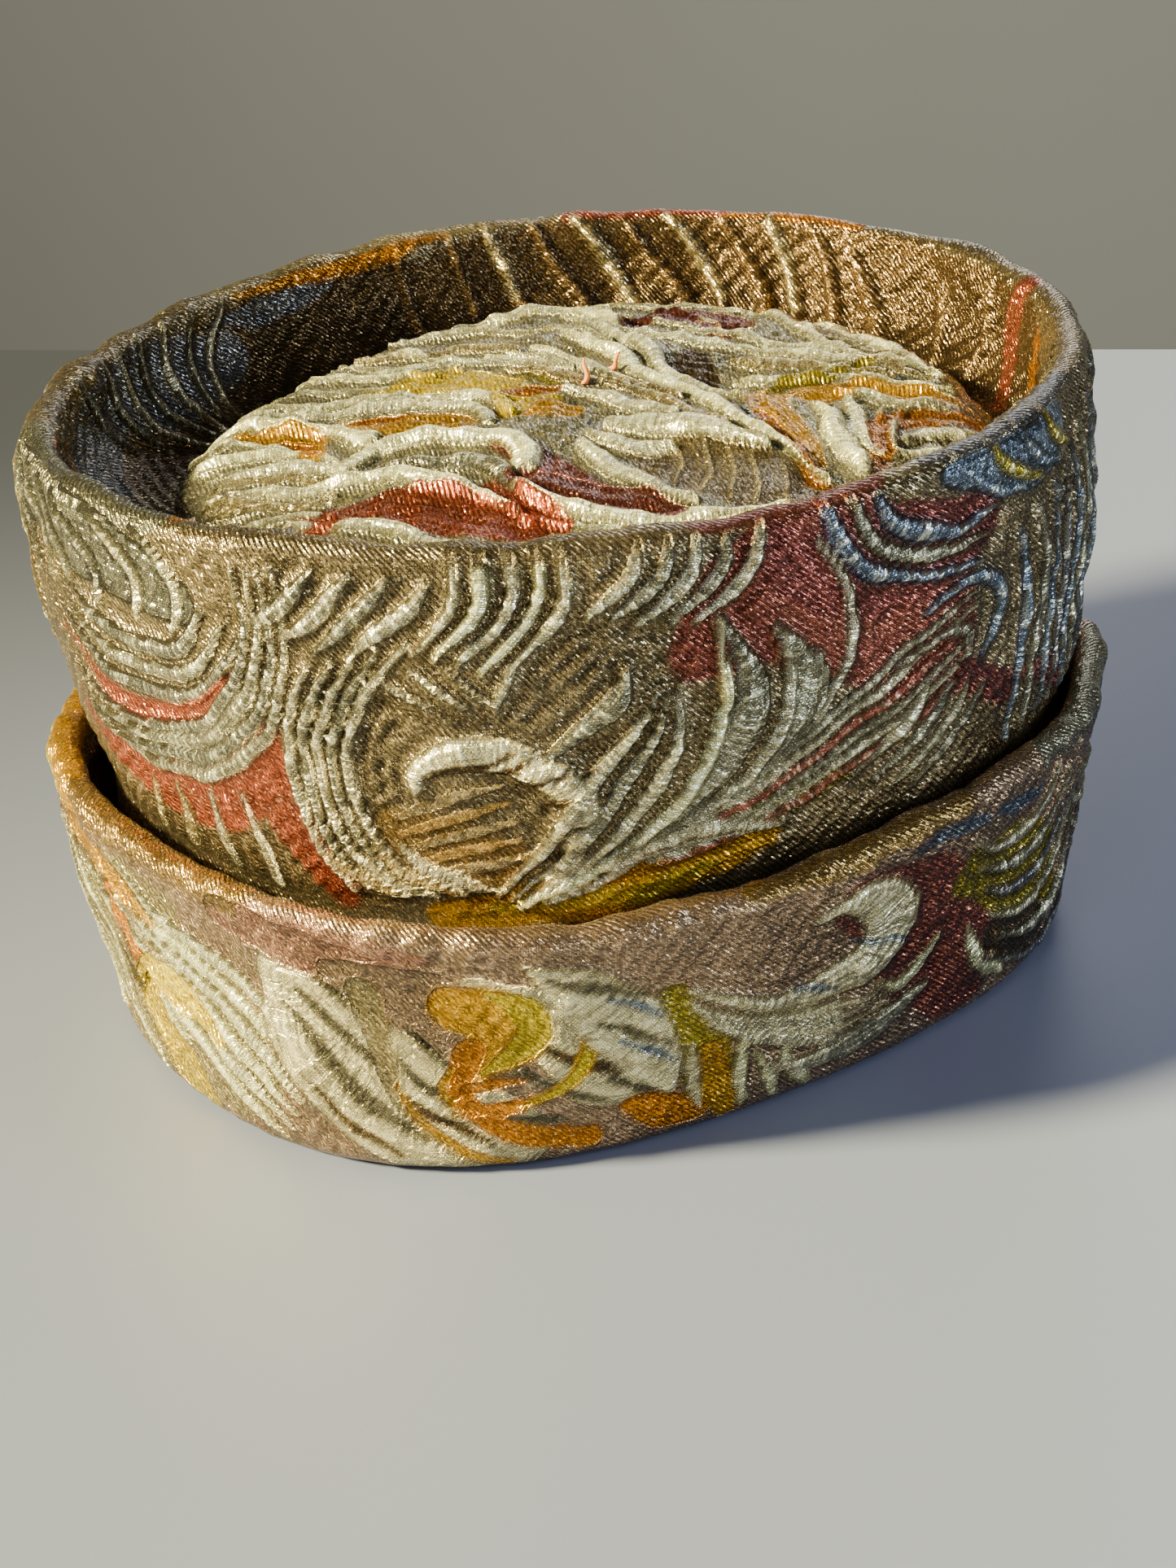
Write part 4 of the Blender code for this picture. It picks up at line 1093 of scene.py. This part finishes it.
# Charted in millimetres from the middle of the tip, side then back
TIP_CHART = [
    wash("yellow", (7, 12, 13, 10), (-38, -18), (-29, -10), (-18, -6), (-6, -7)),
    wash("olive", (4, 7, 6), (-34, -8), (-24, -1), (-12, 2)),
    wash("gold", (4, 9, 8), (-12, -12), (-4, -11), (3, -8)),
    wash("gold", (4, 6, 5), (-42, -50), (-33, -48), (-24, -46)),
    wash("coral", (8, 11, 13, 11), (4, -71), (9, -62), (18, -54), (30, -50)),
    wash("coral", (4, 5, 5, 3), (18, -41), (26, -42), (33, -44), (39, -46)),
    wash("rose", (8, 9, 8, 4), (9, -27), (22, -29), (36, -29), (47, -26)),
    wash("rose", (6, 9, 8), (-33, 45), (-27, 52), (-20, 60)),
    wash("rose", (8, 10, 7), (-20, 60), (-14, 55), (-8, 49)),
    wash("taupe", (14, 22, 22, 12), (30, -9), (40, -7), (50, -5), (58, -3)),
    wash("umber", (5, 9, 6), (-3, 34), (2, 29), (8, 25)),
    wash("olive", (3, 5, 4), (20, 38), (30, 44), (42, 52)),
    wash("orange", (4, 5, 5, 4), (27, 23), (35, 17), (45, 11), (57, 2)),
    wash("gold", (4, 5, 4, 4), (27, 24), (26, 32), (34, 39), (46, 47)),
    wash("orange", (4, 4, 4, 4, 3), (60, 14), (53, 24), (51, 31), (53, 42), (57, 51)),
    # long fingers from the left edge, with rounded ends
    figure("cream", 1.5, (3, 4.5, 5.5, 6.5, 6), (-52, -53), (-40, -46), (-30, -42), (-21, -40), (-15, -41)),
    figure("ivory", 1.4, (2, 4, 4.4, 4.4, 4, 3.6), (-50, -43), (-39, -36), (-30, -28), (-18, -21.6),
           (-9, -18.6), (-4, -21)),
    figure("ivory", 1.3, (2, 3.6, 4, 4, 3.4), (-46, -35), (-37, -25), (-24, -17), (-12, -12.6), (-4, -15)),
    figure("cream", 1.5, (2, 4, 5, 6, 6.5, 6), (-7, -55), (-9, -44), (-4, -34), (5, -27), (12, -27),
           (16.5, -31)),
    figure("pewter", 1.3, (2, 4, 4.6, 5, 4), (-6, -58), (0, -46), (8, -38.5), (14, -36), (19, -37.5)),
    figure("cream", 1.6, (2, 4, 5, 5, 3, 1), (-12, -66), (-4, -56), (3, -50), (11, -47), (20, -44),
           (29, -44.5)),
    figure("ivory", 1.2, (2, 4, 4, 2), (2, -74), (12, -66), (22, -62), (31, -60)),
    figure("ivory", 1.2, (2, 4, 4, 1), (-24, -66), (-18, -58), (-10, -52), (-10, -47)),
    figure("cream", 1.2, (2, 4, 4.6, 3), (-36, -64), (-28, -56), (-20, -51), (-14, -50)),
    figure("ivory", 1.2, (2, 4, 4, 2), (-50, -60), (-42, -56), (-32, -53), (-24, -52)),
    figure("champagne", 1.0, (2, 4, 4, 2), (-20, -74), (-12, -70), (-4, -66), (-2, -60)),
    figure("cream", 1.5, (2, 4.4, 5.4, 5, 4, 2), (20, -37), (33, -39), (43, -34), (50, -28), (56, -19),
           (60, -10)),
    figure("ivory", 1.2, (1, 3, 3.6, 2), (30, -46), (39, -43), (47, -38), (53, -31)),
    figure("champagne", 1.0, (1, 4, 4, 2), (36, -56), (44, -52), (50, -44), (54, -36)),
    # the rounded lobe and its beads round the taupe oval
    figure("ivory", 1.7, (3, 6.5, 7.5, 5, 2), (14, -6), (20, -2), (27, 2), (34, 4), (42, 5)),
    figure("ivory", 1.5, (2, 5.4, 6, 3), (15, -13), (21, -13), (26, -10), (29, -6)),
    figure("ivory", 1.3, (3, 5, 5, 4, 2), (19, -19), (26, -20.5), (33, -21), (40, -22), (48, -21)),
    # long ridges that run across the middle towards the back right
    figure("cream", 1.5, (2, 4, 4.6, 4.4, 4, 3, 2), (-30, 24), (-16, 23), (-2, 18), (13, 16.5), (28, 12),
           (40, 10), (57, 3.5)),
    figure("ivory", 1.4, (2, 4, 4.6, 4, 3, 1), (-34, 33), (-20, 31), (-8, 27), (3, 21.5), (16, 21.5),
           (24, 20)),
    figure("champagne", 1.1, (1, 3, 3.6, 3, 1), (-6, 8), (6, 9), (16, 8), (28, 6.5), (40, 5)),
    figure("ivory", 1.2, (1, 4, 4.6, 3), (-4, 0), (4, 3), (12, 3), (19, 5)),
    figure("champagne", 1.1, (1, 3, 4, 2), (-14, 10), (-6, 12), (4, 12), (14, 12)),
    figure("cream", 1.4, (1, 5, 6.4, 5, 3), (34, 28), (41, 24), (48, 18.4), (55, 14), (61, 10)),
    figure("cream", 1.3, (1, 4.4, 5.4, 3), (37, 34), (44, 29), (51, 23), (57, 19)),
    figure("ivory", 1.2, (1, 4, 4, 3), (33, 35), (40, 39), (46, 42), (50, 46)),
    figure("ivory", 1.2, (2, 5, 5, 3), (56, 27), (57, 35), (60, 41), (62, 46)),
    figure("ivory", 1.2, (2, 4, 4, 3), (58, 20), (62, 26), (64, 32), (65, 38)),
    # ridges along the back edge and round the dent
    figure("cream", 1.5, (2, 6, 7, 4, 1), (-60, 30), (-54, 40), (-44, 46), (-34, 42), (-28, 38)),
    figure("ivory", 1.2, (1, 4, 4, 2), (-52, 54), (-42, 62), (-32, 67), (-22, 70)),
    figure("ivory", 1.3, (2, 5, 5, 3, 1), (-22, 72), (-12, 70), (-2, 66), (8, 62), (18, 60)),
    figure("cream", 1.3, (1, 4, 5, 4, 2), (-8, 76), (4, 74), (16, 70), (28, 66), (38, 62)),
    figure("ivory", 1.3, (2, 5, 5, 3), (-4, 42), (8, 46), (19, 50), (30, 56)),
    figure("ivory", 1.2, (1, 4, 5, 4, 2), (-16, 44), (-6, 50), (4, 54), (16, 57), (26, 62)),
    figure("champagne", 1.1, (1, 4, 4, 1), (6, 36), (14, 40), (24, 46), (34, 52)),
    figure("ivory", 1.2, (1, 3.6, 4, 3, 1), (12, 30), (20, 33), (26, 40), (34, 45), (44, 54)),
    figure("ivory", 1.2, (1, 4, 5, 4, 2), (-30, 36), (-20, 38), (-11, 38), (-5, 40), (2, 42)),
    figure("ivory", 1.2, (2, 4, 4, 2), (-62, 6), (-56, 16), (-48, 22), (-38, 24)),
    figure("champagne", 1.1, (2, 4, 4, 2), (-58, -8), (-50, 2), (-42, 10), (-32, 14)),
    figure("ivory", 1.1, (2, 4, 4, 2), (-54, -20), (-45, -10), (-37, 0), (-27, 8)),
    figure("champagne", 1.0, (1, 3.4, 4, 2), (-26, 4), (-18, 6), (-10, 5), (-3, 7)),
    figure("ivory", 1.1, (2, 4, 4, 2), (-64, 20), (-60, 32), (-52, 42), (-44, 52)),
    # narrow ridges that fill the spaces between the fingers
    *fan(5, ("cream", "ivory"), 0.9, (1, 1.8, 2, 1.4),
         ((-56, -40), (-48, -33), (-40, -26), (-33, -20)), ((-62, -4), (-52, 0), (-42, 3), (-33, 4))),
    *fan(5, ("ivory", "champagne"), 0.9, (1, 1.8, 2.2, 1.4),
         ((-30, -66), (-24, -61), (-19, -57), (-15, -54)), ((-12, -80), (-5, -74), (1, -69), (6, -66))),
    *fan(4, ("cream", "ivory"), 0.9, (1, 1.8, 2, 1),
         ((-30, 16), (-18, 15), (-8, 13), (2, 12.6)), ((-38, 3), (-29, 7), (-20, 9), (-12, 9.6))),
    *fan(4, ("ivory", "cream"), 0.9, (1, 1.8, 2, 1),
         ((-46, 30), (-36, 30), (-27, 29), (-18, 27)), ((-44, 54), (-32, 56), (-20, 58), (-8, 58))),
    *fan(4, ("cream", "champagne"), 0.9, (1, 1.8, 2, 1),
         ((22, 44), (30, 47), (38, 51), (46, 56)), ((4, 66), (14, 65), (24, 66), (34, 68))),
    *fan(4, ("cream", "ivory"), 0.8, (1, 1.6, 1.6, 1),
         ((38, 32), (43, 27.6), (49, 21), (54, 17)), ((46, 38), (50, 32), (54, 26), (58, 22))),
    # the bright patches between the fingers
    inlay("gold", (3, 11, 14, 12, 4), (-29, -36), (-20, -35), (-13.6, -31.6), (-9, -27.6), (-5, -25.6)),
    inlay("orange", (2, 4.4, 3), (-30, -35), (-25, -32), (-19, -29)),
    inlay("yellow", (4, 8, 10, 10, 9, 4), (-36, -15), (-33, -9), (-28, -4), (-19, -5), (-9, -9.6),
          (-4, -15)),
    inlay("orange", (4, 7, 4), (-13, -7), (-9.6, -4), (-7, 0)),
    inlay("gold", (4, 7, 7, 5), (-40, -52), (-33, -46.6), (-26, -47), (-18, -51)),
    inlay("orange", (2, 4, 3), (-31, -49), (-25, -48.4), (-19, -50.4)),
    inlay("coral", (5, 9, 10, 9, 9, 6), (7, -69), (7.6, -61), (11.4, -54), (18, -49.6), (27, -48.4),
          (36, -47.6)),
    inlay("coral", (2, 4.4, 6), (23, -38.6), (30, -41), (38, -43.4)),
    inlay("rose", (6, 9, 9, 6), (20, -35), (31, -31.6), (39, -28), (48, -26)),
    inlay("rose", (5, 8, 9, 8, 5), (-30, 43), (-29.4, 54), (-24, 62), (-15, 61), (-8.6, 52)),
    inlay("gold", (8, 7, 6, 3), (23, 26), (33, 18), (42, 13.6), (52, 8)),
    inlay("orange", (2, 3, 3, 2), (29, 18), (37, 13.6), (44, 10), (53, 5.6)),
    inlay("olive", (5, 6, 6, 3), (23, 30), (24, 36), (27, 43), (26.4, 52)),
    inlay("gold", (4, 5.4, 5.4, 5, 3), (30, 30), (33.6, 35.4), (35, 44), (43, 50), (56, 53)),
    inlay("orange", (3, 4.4, 4.4, 4, 3), (57.4, 20), (50, 27), (47.4, 35), (53, 43), (60, 49)),
    # fine slanting lines on the taupe oval
    *[figure("champagne", 0.35, (0.6, 1.3, 0.6), *path) for path in (
        ((31, 0), (40, -8), (46, -17)), ((36, 1), (45, -7), (51, -16)), ((41, 2), (50, -6), (55, -13)),
        ((47, 3), (54, -3), (59, -9)), ((29, -4), (36, -11), (41, -18)))],
]
TIP_SEGMENTS = 560
TIP_ROW_STEP = 0.0009
TIP_DOME_ROWS = 80
TIP_PUFF, TIP_CRUMPLE, TIP_CREASES = 1.4, 0.7, 0.20
# How strongly the tip's relief shows as painted shade and highlight
TIP_PAINTED_SHADE_SCALE = 0.7
tip_face = [(0.972, LEDGE_HEIGHT + GAP)]
tip_face += rows_between((0.978, 0.0945), (1.0, TIP_FULLEST_HEIGHT), TIP_ROW_STEP)
shoulder = smooth_path([(1.0, TIP_FULLEST_HEIGHT), (0.97, TIP_SHOULDER_HEIGHT - 0.0022), (0.89, 0.10578)], 4)
tip_face += [tuple(spot) for spot in shoulder]
dome_rise = TIP_CENTRE_HEIGHT - TIP_SHOULDER_HEIGHT
tip_face += [(share, TIP_CENTRE_HEIGHT - dome_rise * share ** TIP_DOME_POWER)
             for share in np.linspace(0.878, 0.0, TIP_DOME_ROWS)]
tip_reverse = [(share, TIP_CENTRE_HEIGHT - TIP_WALL - dome_rise * share ** TIP_DOME_POWER)
               for share in (0.0, 0.28, 0.52, 0.73, 0.88)]
tip_reverse += [(0.945, TIP_FULLEST_HEIGHT), (0.925, LEDGE_HEIGHT + GAP)]
tip_data, _, tip_rows = spun_shell("crown_tip_mesh", tip_face + tip_reverse, TIP_SEGMENTS, tip_row)
tip_points = read_points(tip_data) * 1000
tip_middle = 1000 * (np.array([TIP_LINE.shift_side, TIP_LINE.shift_back]) + HAT_SHIFT)
tip_across, tip_along = (tip_points[:, :2] - tip_middle).T
tip_top = (tip_rows < len(tip_face)).astype(float)
tip_chart = Chart(tip_points, tip_across, tip_along, "silver", wraps=False)
tip_chart.lay(TIP_CHART)
tip_up = smooth_step(tip_points[:, 2], 96.0, 101.0) * tip_top
tip_echo = tip_chart.echoes(pitch=2.8, height=0.30) + tip_chart.slants(
    tip_across, tip_along, angle=25.0, pitch=3.3, height=0.28, waviness=crumple(tip_points, 24.0, seed=26))
tip_lift = (TIP_PUFF * tip_chart.swollen(tip_points) + tip_echo) * tip_up
tip_relief = (tip_lift
              + TIP_CRUMPLE * crumple(tip_points, 15.0, seed=21) * tip_up
              + TIP_CREASES * crumple(tip_points, 4.5, seed=22) * tip_up)
sculpt(tip_data, tip_relief)
# The lift, scaled down, sets the tip's painted shade and highlight
dress(tip_data, tip_chart, tip_lift * TIP_PAINTED_SHADE_SCALE, tip_across, tip_along, 0.0)
tip_material = brocade("tip brocade", slant=30.0, glitter=0.07, crest=1.6)
add_piece("crown_tip_cloth", tip_data, tip_material, "crown_tip")


# Thread ends
# Two short ends of orange marking thread, left in the crown tip where it was sewn. Their places from
# the middle of the tip and their sizes are in millimetres.
End = namedtuple("End", "spot lean length thick")
ENDS = [
    End(spot=(-7.5, 15.0), lean=(0.9, 0.4, 1.6), length=4.2, thick=0.75),
    End(spot=(-4.5, 5.0), lean=(-0.7, 0.8, 1.5), length=5.2, thick=0.65),
]
END_SINK, END_NEAR = 0.0006, 0.0015
END_SIDES, END_RINGS = 10, 7
END_SWAY, END_SWAY_BACK = 0.0005, 0.0004
thread_material, thread_tree, thread_shader = new_material("orange thread")
thread_place = add_node(thread_tree, "ShaderNodeTexCoord").outputs["Object"]
fuzz = add_node(thread_tree, "ShaderNodeTexNoise", {"Vector": thread_place, "Scale": 2600.0}).outputs[0]
thread_colour = mix_colour(thread_tree, fuzz, (0.44, 0.115, 0.010, 1), (0.54, 0.160, 0.015, 1))
fuzz_bump = add_node(thread_tree, "ShaderNodeBump", {"Strength": 0.6, "Distance": 0.0002, "Height": fuzz})
thread_tree.links.new(thread_colour, thread_shader.inputs["Base Color"])
thread_tree.links.new(fuzz_bump.outputs[0], thread_shader.inputs["Normal"])
thread_shader.inputs["Roughness"].default_value = 0.75
thread_shader.inputs["Sheen Weight"].default_value = 0.1


def surface_under(data, side, back):
    """The height of the top of a cloth at a place in plan."""
    points = read_points(data)
    near = np.hypot(points[:, 0] - side, points[:, 1] - back) < END_NEAR
    return points[near, 2].max()


for number, end in enumerate(ENDS, start=1):
    side, back = (np.array(end.spot) + tip_middle) / 1000
    root = Vector((side, back, surface_under(tip_data, side, back) - END_SINK))
    thread = bmesh.new()
    bmesh.ops.create_cone(thread, cap_ends=True, segments=END_SIDES, radius1=end.thick / 1000,
                          radius2=end.thick / 3000, depth=end.length / 1000)
    long_edges = [edge for edge in thread.edges if abs((edge.verts[0].co - edge.verts[1].co).z) > 0.001]
    bmesh.ops.subdivide_edges(thread, edges=long_edges, cuts=END_RINGS)
    for vert in thread.verts:
        way = vert.co.z / (end.length / 1000) + 0.5
        vert.co.x += END_SWAY * math.sin(way * 4.0)
        vert.co.y += END_SWAY_BACK * math.sin(way * 7.0)
        vert.co.z += end.length / 2000
    bmesh.ops.rotate(thread, verts=thread.verts, cent=(0, 0, 0),
                     matrix=Vector((0, 0, 1)).rotation_difference(Vector(end.lean)).to_matrix())
    bmesh.ops.translate(thread, verts=thread.verts, vec=root)
    end_data = bpy.data.meshes.new(f"thread_end_{number}_mesh")
    thread.to_mesh(end_data)
    thread.free()
    end_data.shade_smooth()
    end_data.materials.append(thread_material)
    thread_end = show(f"thread_end_{number}", end_data)
    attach(thread_end, "root")


# Floor, backdrop, lights and camera
# A pale floor in front of a plain grey backdrop, both with painted shade towards the left, and soft studio
# light: warm from the left, weak from the front and the back, cool from the right.
BACK = Vector((-0.725, 0.688, 0.0))
RIGHT = Vector((0.688, 0.725, 0.0))
FLOOR_BACK_LEFT = Vector((-0.4339, 0.1273, 0.0))
FLOOR_BACK_RIGHT = Vector((-0.1049, 0.3955, 0.0))
FLOOR_WIDER, FLOOR_NEARER = 6, 8
BACKDROP_BEYOND = 3.0
BACKDROP_REACH = Vector((0, 0, 2.5))


def plain_material(name, colour, roughness, dusk, half_width):
    """A plain surface with painted shade: darker to the left and lighter to the right, and darker at the
    floor's far left corner.
    """
    material, tree, shader = new_material(name)
    light, dark = (tuple(c * share for c in colour) + (1,) for share in (1.03, 0.96))
    grain = add_node(tree, "ShaderNodeTexNoise", {"Scale": 9.0, "Detail": 4.0}).outputs[0]
    place = add_node(tree, "ShaderNodeTexCoord").outputs["Object"]

    def measured(operation, other):
        node = add_node(tree, "ShaderNodeVectorMath", {0: place, 1: other}, operation=operation)
        return node.outputs["Value"]

    # Painted shade: darker towards the floor's far left corner and to the left, lighter to the right
    shade = ramp(tree, measured("DISTANCE", FLOOR_BACK_LEFT), 0.08, 0.56, dusk, 1.0)
    painted_side_shade = ramp(tree, measured("DOT_PRODUCT", RIGHT), -half_width, half_width, 0.74, 1.26)
    plain = shaded(tree, mix_colour(tree, grain, dark, light), maths(tree, "MULTIPLY", shade, painted_side_shade))
    tree.links.new(plain, shader.inputs["Base Color"])
    shader.inputs["Roughness"].default_value = roughness
    return material


def add_stage(name, corners, material):
    mesh = bmesh.new()
    mesh.faces.new([mesh.verts.new(corner) for corner in corners])
    data = bpy.data.meshes.new(name)
    mesh.to_mesh(data)
    mesh.free()
    data.materials.append(material)
    show(name, data)


back_line = FLOOR_BACK_RIGHT - FLOOR_BACK_LEFT
far_left = FLOOR_BACK_LEFT - back_line * FLOOR_WIDER
far_right = FLOOR_BACK_RIGHT + back_line * FLOOR_WIDER
towards_camera = Vector((back_line.y, -back_line.x, 0)) * FLOOR_NEARER
add_stage("floor", [far_left + towards_camera, far_right + towards_camera, far_right, far_left],
          plain_material("pale floor", (0.106, 0.119, 0.174), roughness=0.5, dusk=0.15, half_width=0.29))
beyond = Vector((-back_line.y, back_line.x, 0)).normalized() * BACKDROP_BEYOND
below, above = beyond - BACKDROP_REACH, beyond + BACKDROP_REACH
add_stage("backdrop", [far_left + below, far_right + below, far_right + above, far_left + above],
          plain_material("grey backdrop", (0.105, 0.115, 0.158), roughness=0.8, dusk=1.0, half_width=1.6))


HAT_MIDDLE = Vector((0.0, 0.0, 0.06))
Lamp = namedtuple("Lamp", "name right back up size power colour")
LAMPS = [
    Lamp("warm window", -1.90, -0.50, 1.20, 0.36, 640.0, (1.0, 0.89, 0.48)),
    Lamp("front window", -0.45, -0.85, 0.75, 0.60, 5.4, (1.0, 0.93, 0.82)),
    Lamp("cool fill", 1.00, -0.35, 0.35, 0.60, 12.0, (0.64, 0.78, 1.0)),
    Lamp("back light", 0.30, 1.20, 0.55, 0.60, 4.0, (0.95, 0.96, 1.0)),
]
for lamp in LAMPS:
    lamp_data = bpy.data.lights.new(lamp.name, "AREA")
    lamp_data.shape = "DISK"
    lamp_data.size = lamp.size
    lamp_data.energy = lamp.power
    lamp_data.color = lamp.colour
    light = show(lamp.name, lamp_data)
    light.location = RIGHT * lamp.right + BACK * lamp.back + Vector((0, 0, lamp.up))
    light.rotation_euler = (HAT_MIDDLE - light.location).to_track_quat("-Z", "Y").to_euler()

world = bpy.data.worlds.new("studio")
bpy.context.scene.world = world
world.use_nodes = True
sky = world.node_tree.nodes["Background"]
sky.inputs["Color"].default_value = (0.80, 0.84, 0.92, 1)
sky.inputs["Strength"].default_value = 0.12

CAMERA_PLACE = Vector((0.3027, -0.2896, 0.2508))
CAMERA_AIM = Vector((0.0276, -0.0247, 0.0450))
CAMERA_ROLL = -2.16
FOCAL_PIXELS = 2800
IMAGE_HEIGHT = 1927
camera_data = bpy.data.cameras.new("camera")
camera_data.sensor_width = 36.0
camera_data.lens = FOCAL_PIXELS / IMAGE_HEIGHT * camera_data.sensor_width
camera_data.clip_start = 0.01
camera = show("camera", camera_data)
camera.location = CAMERA_PLACE
facing = (CAMERA_AIM - CAMERA_PLACE).to_track_quat("-Z", "Y")
camera.rotation_euler = (facing @ Quaternion((0, 0, 1), math.radians(CAMERA_ROLL))).to_euler()
bpy.context.scene.camera = camera
